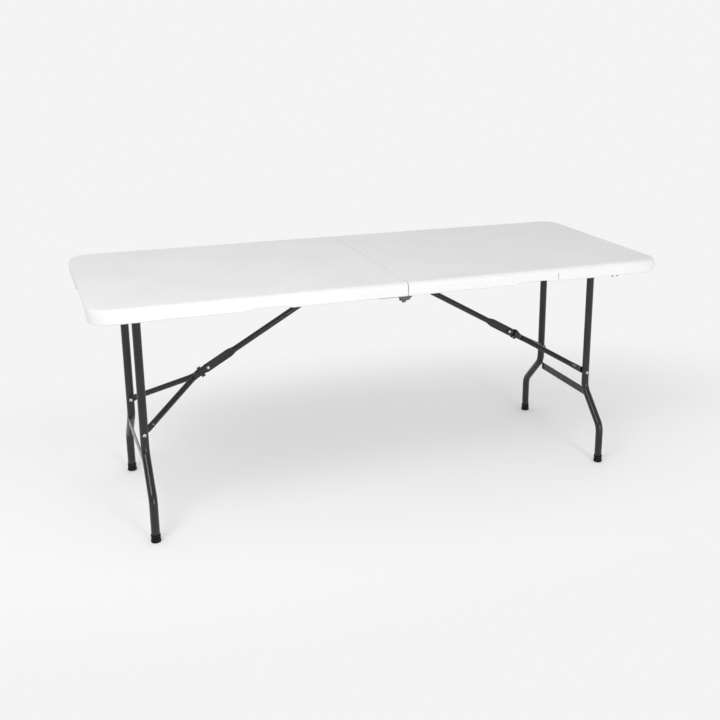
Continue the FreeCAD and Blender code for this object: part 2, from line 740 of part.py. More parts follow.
def cross_stay(name, side, legs):
    """The flat strip welded between the two legs, outward of their centre line."""
    blank = doc.addObject("Part::Box", f"{name}_stay_blank")
    inward = S["stay_set_out"] - S["stay_thickness"] / 2
    x = S["pivot_x"] + inward if side > 0 else -(S["pivot_x"] + inward + S["stay_thickness"])
    bind(blank, Length=S["stay_thickness"], Width=2 * S["leg_offset"], Height=S["stay_height"])
    put(blank, x, -S["leg_offset"], S["stay_level"] - S["stay_height"] / 2)
    bars = []
    for leg, face in legs:
        bar = upright(f"{leg.Label}_room", S["leg_diameter"] / 2, 3 * S["stay_height"], side * S["pivot_x"],
                      face * S["leg_offset"], S["stay_level"] - 1.5 * S["stay_height"])
        bars.append(bar)
    trimmed = cut(f"{name}_stay_trimmed", blank, fuse(f"{name}_stay_room", bars))
    return keep(cut(f"{name}_stay", trimmed, group(f"{name}_stay_legs", [leg for leg, _ in legs])),
                f"{name}_cross_stay")


def leg_rivets(name, side):
    """The rivets that pin the brace arms to the legs, through both walls of the tube."""
    rivets = []
    for face_name, face in FACES:
        tag = f"{name}_{face_name}_leg_rivet"
        x, level = side * S["pivot_x"], S["leg_rivet_level"]
        start = face * (leg_inner_face - S["sliding_gap"])
        length = S["leg_diameter"] + S["sliding_gap"]
        shank = cylinder(f"{tag}_shank", S["rivet_diameter"] / 2, length, x, start, level, face)
        reach = face * (S["leg_offset"] + S["leg_diameter"] / 2 - S["rivet_head_sink"])
        head = dome(f"{tag}_head", S["rivet_head"] / 2, S["rivet_head_height"], x, reach, level,
                    across(face))
        seat = upright(f"{tag}_seat", S["leg_diameter"] / 2, 3 * S["rivet_head"], x,
                       face * S["leg_offset"], level - 1.5 * S["rivet_head"])
        trimmed = cut(f"{tag}_trimmed_head", head, seat)
        rivets.append(fuse(tag, [shank, trimmed]))
    return keep(group(f"{name}_leg_rivets", rivets), f"{name}_leg_rivets")


# ---------------------------------------------------------------- folding brace


def square_wire(centre, along, width, thickness):
    """A rectangle across a direction that lies in the XY plane; width is up."""
    up = Vector(0, 0, width / 2)
    out = Vector(-along.y, along.x, 0).normalize() * (thickness / 2)
    corners = [centre + out + up, centre - out + up, centre - out - up, centre + out - up]
    edges = [Part.makeLine(corners[i], corners[(i + 1) % 4]) for i in range(4)]
    return Part.Wire(edges)


def round_wire(centre, along, radius):
    """A circle in four quarters that start where a rectangle's corners are."""
    up = Vector(0, 0, radius)
    out = Vector(-along.y, along.x, 0).normalize() * radius
    spots = []
    for eighth in range(8):
        angle = math.radians(45 + 45 * eighth)
        spots.append(centre + out * math.cos(angle) + up * math.sin(angle))
    edges = [Part.Arc(spots[2 * i], spots[2 * i + 1], spots[(2 * i + 2) % 8]).toShape() for i in range(4)]
    return Part.Wire(edges)


def brace_placement(side):
    """Local +X runs down the brace towards the leg, from an origin on the joint."""
    x, z = along_brace(side, Size.of(0))
    turn = brace_angle.value if side > 0 else 180 - brace_angle.value
    return Placement(Vector(x.value, 0, z.value), Rotation(Vector(0, 1, 0), turn))


def shaped(label, shape, side):
    """A sub-part whose form is set from the sheet's values, laid along the brace."""
    feature = doc.addObject("Part::Feature", label)
    feature.Shape = shape
    feature.Placement = brace_placement(side)
    return keep(feature, label)


def drill(shape, x, rise, diameter, reach):
    """The shape less a hole across it, along Y."""
    return shape.cut(Part.makeCylinder(diameter / 2, 2 * reach, Vector(x, -reach, rise), Vector(0, 1, 0)))


def brace_link(name, side):
    """A tube on the brace pivot whose far end is pressed flat, with a tongue past the joint."""
    size = {alias: s.value for alias, s in S.items()}
    radius, flat = size["link_diameter"] / 2, size["link_flat_width"] / 2
    thickness = size["link_flat_thickness"]
    flat_start, tail = -size["link_flat_length"], size["link_tail"]
    pivot, taper_start = -link_length.value, flat_start - size["link_taper"]
    ahead, sideways = Vector(1, 0, 0), Vector(0, 1, 0)
    outer = Part.makeCylinder(radius, taper_start - pivot, Vector(pivot, 0, 0), ahead)
    bore = Part.makeCylinder(radius - size["tube_wall"], taper_start - pivot, Vector(pivot, 0, 0), ahead)
    pivot_radius = size["brace_pivot_diameter"] / 2
    seat = Part.makeCylinder(pivot_radius, 4 * radius, Vector(pivot, -2 * radius, 0), sideways)
    round_part = outer.cut(bore).cut(seat)
    taper = Part.makeLoft([
        round_wire(Vector(taper_start, 0, 0), ahead, radius),
        square_wire(Vector(flat_start, 0, 0), ahead, 2 * flat, thickness),
    ], True, True)
    plate = Part.makeBox(tail - flat_start, thickness, 2 * flat, Vector(flat_start, -thickness / 2, -flat))

    def end_corner(edge):
        return near(edge.CenterOfMass.x, tail) and edge.Length < thickness + 0.01

    plate = plate.makeFillet(flat * size["link_tail_round"], [e for e in plate.Edges if end_corner(e)])
    half_tongue = size["link_tongue_width"] / 2
    middle = side * (size["link_tongue_top"] - half_tongue)
    tip = size["link_tongue"] - half_tongue
    tongue = Part.makeBox(tip, thickness, 2 * half_tongue, Vector(0, -thickness / 2, middle - half_tongue))
    tip_round = Part.makeCylinder(half_tongue, thickness, Vector(tip, -thickness / 2, middle), sideways)
    link = round_part.fuse([taper, plate, tongue, tip_round]).removeSplitter()
    link = drill(link, 0, 0, size["rivet_diameter"], thickness)
    link = drill(link, -size["link_rivet_back"], side * size["link_rivet_rise"],
                 size["small_rivet_diameter"], thickness)
    return shaped(f"{name}_brace_link", link, side)


def brace_arm(name, side, face_name, face):
    """A tube pressed flat at both ends: beside the link at one, beside a leg at the other."""
    size = {alias: s.value for alias, s in S.items()}
    flat, thickness = size["arm_flat_width"], size["arm_flat_thickness"]
    near_y = size["link_flat_thickness"] / 2 + size["sliding_gap"] + thickness / 2
    far_y = leg_inner_face.value - size["leg_gap"] - thickness / 2
    foot_start = arm_length.value - size["arm_foot"]
    start = Vector(size["arm_straight"], face * near_y, 0)
    end = Vector(foot_start, face * far_y, 0)
    slant = (end - start).normalize()
    ahead = Vector(1, 0, 0)
    radius = size["arm_diameter"] / 2
    tube_start = start + slant * size["arm_taper"]
    tube_end = end - slant * size["arm_taper"]

    def plate(x0, x1, y):
        return Part.makeBox(x1 - x0, thickness, flat, Vector(x0, y - thickness / 2, -flat / 2))

    def round_end(x, y):
        return Part.makeCylinder(flat / 2, thickness, Vector(x, y - thickness / 2, 0), Vector(0, 1, 0))

    foot_round = arm_length.value + size["arm_foot_tail"] - flat / 2
    head_loft = [square_wire(start, ahead, flat, thickness), round_wire(tube_start, slant, radius)]
    foot_loft = [round_wire(tube_end, slant, radius), square_wire(end, ahead, flat, thickness)]
    solids = [
        plate(0, start.x, face * near_y).fuse(round_end(0, face * near_y)),
        Part.makeLoft(head_loft, True, True),
        Part.makeCylinder(radius, (tube_end - tube_start).Length, tube_start, slant),
        Part.makeLoft(foot_loft, True, True),
        plate(end.x, foot_round, face * far_y),
        round_end(foot_round, face * far_y),
    ]
    arm = solids[0].fuse(solids[1:]).removeSplitter()
    arm = drill(arm, 0, 0, size["rivet_diameter"] + 2 * size["running_clearance"], 2 * near_y)
    return shaped(f"{name}_{face_name}_brace_arm", arm, side)


def joint_rivet(name, side):
    """The rivet through the link and both arms."""
    x, z = along_brace(side, Size.of(0))
    reach = S["link_flat_thickness"] / 2 + 2 * S["sliding_gap"] + S["arm_flat_thickness"]
    tag = f"{name}_joint_rivet"
    shank = cylinder(f"{tag}_shank", S["rivet_diameter"] / 2, 2 * reach, x, -reach, z)
    heads = [dome(f"{tag}_{face_name}_head", S["rivet_head"] / 2, S["rivet_head_height"], x,
                  face * reach, z, across(face)) for face_name, face in FACES]
    return keep(fuse(tag, [shank] + heads), tag)


def link_rivet(name, side):
    """The small rivet in the link's pressed part that stops the ring."""
    x, z = along_brace(side, -S["link_rivet_back"])
    x = x + side * S["link_rivet_rise"] * brace_rise / brace_length
    z = z + S["link_rivet_rise"] * brace_run / brace_length
    reach = S["link_flat_thickness"] / 2
    tag = f"{name}_link_rivet"
    shank = cylinder(f"{tag}_shank", S["small_rivet_diameter"] / 2, 2 * reach, x, -reach, z)
    heads = [dome(f"{tag}_{face_name}_head", S["small_rivet_head"] / 2, S["small_rivet_height"], x,
                  face * reach, z, across(face)) for face_name, face in FACES]
    return keep(fuse(tag, [shank] + heads), tag)


def arm_rivets(name, side):
    """The leg rivets' heads on the inner faces of the arms."""
    far_face = leg_inner_face - S["leg_gap"] - S["arm_flat_thickness"]
    x, z = along_brace(side, arm_length)
    heads = [dome(f"{name}_{face_name}_arm_head", S["rivet_head"] / 2, S["rivet_head_height"], x,
                  face * far_face, z, across(-face)) for face_name, face in FACES]
    return keep(group(f"{name}_arm_heads", heads), f"{name}_arm_rivets")


def lock_ring(name, side):
    """The loop that slides over the joint and keeps link and arms in line."""
    size = {alias: s.value for alias, s in S.items()}
    half_height = size["link_flat_width"] / 2 + size["ring_play"]
    half_across = size["link_diameter"] / 2 + size["ring_play"]
    wall, length = size["ring_wall"], size["ring_length"]
    start = size["ring_centre"] - length / 2

    def block(across_y, up_z, radius):
        box = Part.makeBox(length, 2 * across_y, 2 * up_z, Vector(start, -across_y, -up_z))
        middle = start + length / 2
        return box.makeFillet(radius, [e for e in box.Edges if near(e.CenterOfMass.x, middle)])

    inner_radius = wall / 2
    ring = block(half_across + wall, half_height + wall, inner_radius + wall)
    ring = ring.cut(block(half_across, half_height, inner_radius))
    return shaped(f"{name}_lock_ring", ring, side)


# ---------------------------------------------------------------- assembly

for side_name, side_sign in SIDES:
    top_half(side_name, side_sign)
    for edge_name, edge_sign in FACES:
        side_rail(side_name, side_sign, edge_name, edge_sign)
        hinge_leaf(side_name, side_sign, edge_name, edge_sign)
    rail_screws(side_name, side_sign)
    leg_seat, brace_seat = pivot_seats()
    pivot_bushes(side_name, side_sign, "leg_pivot", leg_seat)
    pivot_bushes(side_name, side_sign, "brace_pivot", brace_seat)
    leg_pivot = tube(f"{side_name}_pivot", S["pivot_diameter"], side_sign * S["pivot_x"], pivot_level,
                     pivot_reach)
    keep(leg_pivot, f"{side_name}_leg_pivot_tube")
    pair = []
    for edge_name, edge_sign in FACES:
        pair.append((leg_tube(side_name, side_sign, edge_name, edge_sign), edge_sign))
    cross_stay(side_name, side_sign, pair)
    for edge_name, edge_sign in FACES:
        foot_cap(side_name, side_sign, edge_name, edge_sign)
    leg_rivets(side_name, side_sign)
    brace_pivot = tube(f"{side_name}_brace_pivot", S["brace_pivot_diameter"], side_sign * S["brace_pivot_x"],
                       brace_pivot_level, pivot_reach)
    keep(brace_pivot, f"{side_name}_brace_pivot_tube")
    brace_link(side_name, side_sign)
    link_rivet(side_name, side_sign)
    joint_rivet(side_name, side_sign)
    for edge_name, edge_sign in FACES:
        brace_arm(side_name, side_sign, edge_name, edge_sign)
    arm_rivets(side_name, side_sign)
    lock_ring(side_name, side_sign)

for edge_name, edge_sign in FACES:
    hinge_pin(edge_name, edge_sign)
locating_studs()
doc.recompute()

# ---------------------------------------------------------------- check and write

for obj in doc.Objects:
    if "Invalid" in obj.State or "Error" in obj.State:
        raise RuntimeError(f"{obj.Label} is in state {obj.State}")
for node in nodes:
    if node.Shape.isNull() or not node.Shape.isValid():
        raise RuntimeError(f"{node.Label} has no valid shape")

os.makedirs("parts", exist_ok=True)
for node in nodes:
    node.Shape.exportStep(f"parts/{node.Label}.step")
print(f"{len(nodes)} nodes written")
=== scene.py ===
"""A folding table: two moulded halves on folding tubular legs, dressed for a plain studio.

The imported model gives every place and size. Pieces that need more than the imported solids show
are modelled again here, in metres and in the same frame, and stand in for their nodes.
"""

import json
import logging
import math
from dataclasses import dataclass, field
from enum import Enum
from typing import Callable, Iterable, Sequence

import bmesh
import bpy
from mathutils import Matrix, Vector


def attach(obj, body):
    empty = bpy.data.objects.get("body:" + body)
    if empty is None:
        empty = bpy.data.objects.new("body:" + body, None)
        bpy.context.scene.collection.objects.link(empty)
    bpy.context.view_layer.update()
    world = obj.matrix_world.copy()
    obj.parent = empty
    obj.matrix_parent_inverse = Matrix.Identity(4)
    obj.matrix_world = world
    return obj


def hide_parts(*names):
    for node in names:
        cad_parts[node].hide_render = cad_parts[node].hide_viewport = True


logging.basicConfig(level=logging.INFO, format="%(message)s")
LOG = logging.getLogger("folding_table")

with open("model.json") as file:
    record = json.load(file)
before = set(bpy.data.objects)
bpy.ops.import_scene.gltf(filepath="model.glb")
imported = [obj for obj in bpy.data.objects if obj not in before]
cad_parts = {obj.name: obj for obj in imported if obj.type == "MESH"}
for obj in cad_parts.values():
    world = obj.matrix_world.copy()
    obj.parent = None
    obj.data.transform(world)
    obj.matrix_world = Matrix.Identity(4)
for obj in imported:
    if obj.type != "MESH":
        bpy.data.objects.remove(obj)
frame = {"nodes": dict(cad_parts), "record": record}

SIDES = (("left", -1), ("right", 1))
FACES = (("front", -1), ("back", 1))
ALONG = Vector((1, 0, 0))
ACROSS = Vector((0, 1, 0))
UP = Vector((0, 0, 1))

# How close, in metres, points are to be merged, to lie on a cut, to lie on a level, and to lie on
# a level that a rounding has touched.
MERGE = 1e-7
ON_CUT = 1e-6
ON_LEVEL = 1e-5
LOOSE = 1e-4


# ---------------------------------------------------------------- finishes


class Slot(Enum):
    """The record's material slots."""

    MOULDED = "moulded_plastic"
    COATED = "coated_steel"
    RAIL = "rail_steel"
    ZINC = "zinc_rivet"
    HINGE = "hinge_steel"
    RUBBER = "foot_rubber"
    NYLON = "black_plastic"


class NodeSheet:
    """A short way to lay out one material's nodes.

    Args:
        name: the material's name.
    """

    def __init__(self, name: str) -> None:
        """Make the material with its shader and the object coordinates."""
        self.material = bpy.data.materials.new(name)
        self.material.use_nodes = True
        self.nodes = self.material.node_tree.nodes
        self.links = self.material.node_tree.links
        self.shader = self.nodes["Principled BSDF"]
        self.place = self.nodes.new("ShaderNodeTexCoord").outputs["Object"]

    def add(self, kind: str, **values: object) -> bpy.types.Node:
        """Add a node and set its properties or inputs.

        Args:
            kind: the node type's name after "ShaderNode".
            values: properties by name, or inputs by name with _ for a space.

        Returns:
            The node.
        """
        node = self.nodes.new(f"ShaderNode{kind}")
        for name, value in values.items():
            if hasattr(node, name):
                setattr(node, name, value)
            else:
                node.inputs[name.replace("_", " ")].default_value = value
        return node

    def join(self, source: bpy.types.NodeSocket, target: bpy.types.NodeSocket) -> None:
        """Link an output to an input."""
        self.links.new(source, target)

    def noise(self, scale: float, detail: float = 2.0, roughness: float = 0.5) -> bpy.types.NodeSocket:
        """Noise in the object's own space, from 0 to 1, with the scale in features a metre."""
        node = self.add("TexNoise", Scale=scale, Detail=detail, Roughness=roughness)
        self.join(self.place, node.inputs["Vector"])
        return node.outputs["Fac"]

    def spread(self, source: bpy.types.NodeSocket, low: float, high: float) -> bpy.types.NodeSocket:
        """Stretch the middle of a noise to the range from low to high."""
        node = self.add("MapRange", From_Min=0.3, From_Max=0.7, To_Min=low, To_Max=high)
        self.join(source, node.inputs["Value"])
        return node.outputs["Result"]

    def blend(self, share: bpy.types.NodeSocket, first: Sequence[float],
              second: Sequence[float]) -> bpy.types.NodeSocket:
        """Mix two colours by a share.

        Args:
            share: 0 gives the first colour and 1 the second.
            first: linear red, green and blue.
            second: the same.

        Returns:
            The mixed colour.
        """
        node = self.add("Mix", data_type="RGBA")
        self.join(share, node.inputs["Factor"])
        node.inputs["A"].default_value = (*first, 1.0)
        node.inputs["B"].default_value = (*second, 1.0)
        return node.outputs["Result"]

    def bump(self, height: bpy.types.NodeSocket, depth: float, strength: float = 1.0,
             below: bpy.types.NodeSocket | None = None) -> bpy.types.NodeSocket:
        """Turn a height into a shading normal.

        Args:
            height: 0 to 1.
            depth: what 1 stands for, in metres.
            strength: share of the effect.
            below: a normal that this one is laid over.

        Returns:
            The normal.
        """
        node = self.add("Bump", Strength=strength, Distance=depth)
        self.join(height, node.inputs["Height"])
        if below is not None:
            self.join(below, node.inputs["Normal"])
        return node.outputs["Normal"]

    def set(self, **values: object) -> None:
        """Set or link the shader's inputs; a name's _ stands for a space."""
        for name, value in values.items():
            socket = self.shader.inputs[name.replace("_", " ")]
            if isinstance(value, bpy.types.NodeSocket):
                self.join(value, socket)
            else:
                socket.default_value = value


@dataclass(frozen=True)
class MouldedPlastic:
    """White polyethylene with a fine pebble grain."""

    light: tuple[float, float, float] = (0.80, 0.80, 0.80)
    dark: tuple[float, float, float] = (0.76, 0.76, 0.765)
    pebbles_per_metre: float = 420.0
    pebble_depth: float = 0.00022
    pebble_share: float = 0.55
    waves_per_metre: float = 7.0
    wave_depth: float = 0.0006
    wave_share: float = 0.35
    clouds_per_metre: float = 5.0
    patches_per_metre: float = 60.0
    roughness: float = 0.42
    milkiness: float = 0.08
    milk_depth: float = 0.004

    def make(self) -> bpy.types.Material:
        """Build the material."""
        sheet = NodeSheet("moulded_plastic")
        pebble = sheet.add("TexVoronoi", Scale=self.pebbles_per_metre, Randomness=1.0)
        sheet.join(sheet.place, pebble.inputs["Vector"])
        grain = sheet.bump(pebble.outputs["Distance"], self.pebble_depth, self.pebble_share)
        wave = sheet.bump(sheet.noise(self.waves_per_metre), self.wave_depth, self.wave_share, grain)
        cloud = sheet.spread(sheet.noise(self.clouds_per_metre, detail=4.0), 0.0, 1.0)
        patch = sheet.noise(self.patches_per_metre)
        sheet.set(
            Base_Color=sheet.blend(cloud, self.dark, self.light),
            Roughness=sheet.spread(patch, self.roughness - 0.05, self.roughness + 0.06),
            Subsurface_Weight=self.milkiness,
            Subsurface_Scale=self.milk_depth,
            IOR=1.5,
            Normal=wave,
        )
        return sheet.material


@dataclass(frozen=True)
class PowderCoat:
    """Dark grey powder coat with a little orange peel."""

    name: str = "coated_steel"
    light: tuple[float, float, float] = (0.016, 0.016, 0.017)
    dark: tuple[float, float, float] = (0.009, 0.009, 0.010)
    roughness: float = 0.23
    gloss: float = 0.45
    peel_per_metre: float = 900.0
    peel_depth: float = 0.000004
    peel_share: float = 0.5
    clouds_per_metre: float = 38.0
    patches_per_metre: float = 60.0

    def make(self) -> bpy.types.Material:
        """Build the material."""
        sheet = NodeSheet(self.name)
        peel = sheet.bump(sheet.noise(self.peel_per_metre), self.peel_depth, self.peel_share)
        cloud = sheet.spread(sheet.noise(self.clouds_per_metre, detail=5.0, roughness=0.6), 0.0, 1.0)
        patch = sheet.noise(self.patches_per_metre)
        sheet.set(
            Base_Color=sheet.blend(cloud, self.dark, self.light),
            Roughness=sheet.spread(patch, self.roughness - 0.02, self.roughness + 0.04),
            Specular_IOR_Level=self.gloss,
            Normal=peel,
        )
        return sheet.material


@dataclass(frozen=True)
class PlatedSteel:
    """Bright or dull zinc plate."""

    name: str
    light: tuple[float, float, float]
    dark: tuple[float, float, float]
    roughness: float
    clouds_per_metre: float = 220.0
    scuffs_per_metre: float = 500.0
    grains_per_metre: float = 700.0
    grain_depth: float = 0.00006
    grain_share: float = 0.4

    def make(self) -> bpy.types.Material:
        """Build the material."""
        sheet = NodeSheet(self.name)
        cloud = sheet.spread(sheet.noise(self.clouds_per_metre, detail=4.0, roughness=0.6), 0.0, 1.0)
        scuff = sheet.noise(self.scuffs_per_metre, detail=3.0)
        grain = sheet.noise(self.grains_per_metre)
        sheet.set(
            Base_Color=sheet.blend(cloud, self.dark, self.light),
            Metallic=1.0,
            Roughness=sheet.spread(scuff, self.roughness - 0.06, self.roughness + 0.1),
            Normal=sheet.bump(grain, self.grain_depth, self.grain_share),
        )
        return sheet.material


@dataclass(frozen=True)
class BlackPolymer:
    """Rubber or nylon, dark and dull."""

    name: str
    light: tuple[float, float, float]
    dark: tuple[float, float, float]
    roughness: float
    gloss: float = 0.2
    clouds_per_metre: float = 90.0
    scuffs_per_metre: float = 300.0
    grains_per_metre: float = 1400.0
    grain_depth: float = 0.00008
    grain_share: float = 0.5

    def make(self) -> bpy.types.Material:
        """Build the material."""
        sheet = NodeSheet(self.name)
        cloud = sheet.spread(sheet.noise(self.clouds_per_metre, detail=4.0), 0.0, 1.0)
        scuff = sheet.noise(self.scuffs_per_metre)
        grain = sheet.noise(self.grains_per_metre)
        sheet.set(
            Base_Color=sheet.blend(cloud, self.dark, self.light),
            Roughness=sheet.spread(scuff, self.roughness - 0.05, self.roughness + 0.08),
            Specular_IOR_Level=self.gloss,
            Normal=sheet.bump(grain, self.grain_depth, self.grain_share),
        )
        return sheet.material


@dataclass(frozen=True)
class Finishes:
    """Every finish on the table, by slot."""

    by_slot: dict[Slot, bpy.types.Material] = field(default_factory=lambda: {
        Slot.MOULDED: MouldedPlastic().make(),
        Slot.COATED: PowderCoat().make(),
        Slot.RAIL: PowderCoat("rail_steel", (0.022, 0.022, 0.024), (0.012, 0.012, 0.013), 0.4).make(),
        Slot.ZINC: PlatedSteel("zinc_rivet", (0.72, 0.72, 0.73), (0.52, 0.53, 0.55), 0.24).make(),
        Slot.HINGE: PlatedSteel("hinge_steel", (0.15, 0.15, 0.155), (0.09, 0.09, 0.095), 0.42).make(),
        Slot.RUBBER: BlackPolymer("foot_rubber", (0.005, 0.005, 0.0055), (0.0025, 0.0025, 0.003), 0.6).make(),
        Slot.NYLON: BlackPolymer("black_plastic", (0.02, 0.02, 0.021), (0.011, 0.011, 0.012), 0.42).make(),
    })

    def dress_nodes(self) -> None:
        """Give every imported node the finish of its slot."""
        slots = {entry["node"]: Slot(entry["material_slot"]) for entry in frame["record"]["subparts"]}
        for name, node in frame["nodes"].items():
            finish = self.by_slot[slots[name]]
            if not node.material_slots:
                node.data.materials.append(finish)
            for index in range(len(node.material_slots)):
                node.material_slots[index].material = finish


# ---------------------------------------------------------------- mesh code


Profile = Sequence[tuple[float, float]]


@dataclass
class Station:
    """One cross-section of a swept bar.

    Args:
        centre: the middle of the section.
        across: unit direction of its thickness.
        up: unit direction of its width.
        half_across: half the thickness.
        half_up: half the width.
        square: 2 for an ellipse, more for a squarer section.
    """

    centre: Vector
    across: Vector
    up: Vector
    half_across: float
    half_up: float
    square: float = 2.0


class Shaper:
    """Mesh code for one piece: every face comes from an operator."""

    def __init__(self) -> None:
        """Start with nothing."""
        self.mesh = bmesh.new()

    def box(self, low: Sequence[float], high: Sequence[float]) -> None:
        """Add a block between two corners."""
        low, high = Vector(low), Vector(high)
        size = high - low
        place = Matrix.Translation((low + high) / 2) @ Matrix.Diagonal((*size, 1))
        bmesh.ops.create_cube(self.mesh, size=1, matrix=place)

    def plate(self, outline: Iterable[Vector], thickness: Vector) -> None:
        """Add a flat plate.

        Args:
            outline: its corners in order.
            thickness: from one face to the other.
        """
        face = self.mesh.faces.new([self.mesh.verts.new(corner) for corner in outline])
        grown = bmesh.ops.extrude_face_region(self.mesh, geom=[face], use_keep_orig=True)["geom"]
        moved = [item for item in grown if isinstance(item, bmesh.types.BMVert)]
        bmesh.ops.translate(self.mesh, verts=moved, vec=thickness)

    def turned(self, profile: Profile, foot: Vector, axis: Vector, closed: bool = False,
               steps: int = 28) -> None:
        """Spin a profile once round an axis.

        Args:
            profile: (radius, height) points from the foot along the axis.
            foot: where the height is 0.
            axis: unit direction of the height.
            closed: join the last point to the first.
            steps: faces round the axis.
        """
        axis = axis.normalized()
        out = axis.orthogonal().normalized()
        points = [self.mesh.verts.new(foot + out * radius + axis * height) for radius, height in profile]
        pairs = list(zip(points, points[1:])) + ([(points[-1], points[0])] if closed else [])
        edges = [self.mesh.edges.new(pair) for pair in pairs]
        bmesh.ops.spin(self.mesh, geom=points + edges, cent=foot, axis=axis, angle=2 * math.pi, steps=steps,
                       use_merge=True)
        on_axis = [vert for vert in self.mesh.verts if (vert.co - foot).cross(axis).length < MERGE]
        bmesh.ops.remove_doubles(self.mesh, verts=on_axis, dist=MERGE)

    def swept(self, stations: Sequence[Station], closed: bool = False, segments: int = 24) -> None:
        """Bridge a row of cross-sections into one skin.

        Args:
            stations: the sections in order.
            closed: join the last to the first instead of capping both.
            segments: points in a section.
        """
        loops = []
        for station in stations:
            ring = bmesh.ops.create_circle(self.mesh, segments=segments, radius=1)["verts"]
            power = 2 / station.square
            for vert in ring:
                east, north = vert.co.x, vert.co.y
                vert.co = (station.centre
                           + station.across * (math.copysign(abs(east) ** power, east) * station.half_across)
                           + station.up * (math.copysign(abs(north) ** power, north) * station.half_up))
            loops.append(list({edge for vert in ring for edge in vert.link_edges}))
        pairs = list(zip(loops, loops[1:])) + ([(loops[-1], loops[0])] if closed else [])
        for first, second in pairs:
            bmesh.ops.bridge_loops(self.mesh, edges=first + second)
        if not closed:
            for loop in (loops[0], loops[-1]):
                bmesh.ops.contextual_create(self.mesh, geom=loop)

    def round_over(self, radius: float, segments: int, wanted: Callable[[bmesh.types.BMEdge], bool],
                   held: bool = False) -> None:
        """Round edges over.

        Args:
            radius: of the rounding.
            segments: faces across the rounding.
            wanted: picks the edges.
            held: keep the roundings from running into each other.
        """
        edges = [edge for edge in self.mesh.edges if wanted(edge)]
        bmesh.ops.bevel(self.mesh, geom=edges, offset=radius, segments=segments, profile=0.5, affect="EDGES",
                        material=-1, clamp_overlap=held)

    def round_sharp(self, radius: float, segments: int = 2, angle: float = 40.0) -> None:
        """Bevel every edge sharper than an angle in degrees."""
        bmesh.ops.recalc_face_normals(self.mesh, faces=self.mesh.faces)
        sharp = math.radians(angle)
        self.round_over(radius, segments, lambda edge: edge.is_manifold and edge.calc_face_angle(0) > sharp,
                        held=True)

    def slice(self, place: Sequence[float], normal: Vector, near: Callable[[Vector], bool]) -> None:
        """Cut the faces whose middle passes the test along a plane, and keep both sides."""
        faces = [face for face in self.mesh.faces if near(face.calc_center_median())]
        geom = list({item for face in faces for item in (face, *face.edges, *face.verts)})
        bmesh.ops.bisect_plane(self.mesh, geom=geom, plane_co=place, plane_no=normal, dist=ON_CUT)


@dataclass
class Workshop:
    """Turns finished mesh code into dressed pieces.

    Args:
        finishes: the materials by slot.
    """

    finishes: Finishes
    made: int = 0

    def piece(self, name: str, shaper: Shaper, body: str, slot: Slot, *nodes: str,
              crease: float = 38.0) -> None:
        """Make the object, dress it and hang it on its body.

        Args:
            name: the piece's name.
            shaper: the mesh code.
            body: the body that it moves with.
            slot: its material slot.
            nodes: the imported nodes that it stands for.
            crease: edges sharper than this, in degrees, stay crisp.
        """
        mesh = shaper.mesh
        bmesh.ops.recalc_face_normals(mesh, faces=mesh.faces)
        for face in mesh.faces:
            face.smooth = True
        for edge in mesh.edges:
            edge.smooth = edge.is_manifold and edge.calc_face_angle(0) < math.radians(crease)
        data = bpy.data.meshes.new(name)
        mesh.to_mesh(data)
        mesh.free()
        piece = bpy.data.objects.new(name, data)
        bpy.context.scene.collection.objects.link(piece)
        data.materials.append(self.finishes.by_slot[slot])
        even = piece.modifiers.new("even_normals", "WEIGHTED_NORMAL")
        even.keep_sharp = True
        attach(piece, body)
        if nodes:
            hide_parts(*nodes)
        self.made += 1
        LOG.info("%02d %s on %s, %d faces", self.made, name, body, len(data.polygons))


def smooth_step(share: float) -> float:
    """Ease from 0 to 1."""
    share = min(max(share, 0.0), 1.0)
    return share * share * (3 - 2 * share)


def mix(first: float, second: float, share: float) -> float:
    """Go from the first value to the second."""
    return first + (second - first) * share


def rounded_path(corners: Sequence[Vector], radius: float, step: float) -> list[tuple[Vector, Vector, float]]:
    """Walk a bent line whose corners are rounded.

    Args:
        corners: the line's corners.
        radius: how far from a corner the rounding starts.
        step: the distance between points.

    Returns:
        Place, unit direction and distance walked, for each point.
    """
    points = [corners[0]]
    for before, corner, after in zip(corners, corners[1:], corners[2:]):
        start = corner + (before - corner).normalized() * radius
        end = corner + (after - corner).normalized() * radius
        for share in (i / 8 for i in range(9)):
            points.append(start.lerp(corner, share).lerp(corner.lerp(end, share), share))
    points.append(corners[-1])
    walked, rows = 0.0, []
    for before, after in zip(points, points[1:]):
        length = (after - before).length
        count = max(1, round(length / step))
        heading = (after - before).normalized()
        for i in range(count):
            rows.append((before.lerp(after, i / count), heading, walked + length * i / count))
        walked += length
    rows.append((points[-1], rows[-1][1], walked))
    return rows


# ---------------------------------------------------------------- table top


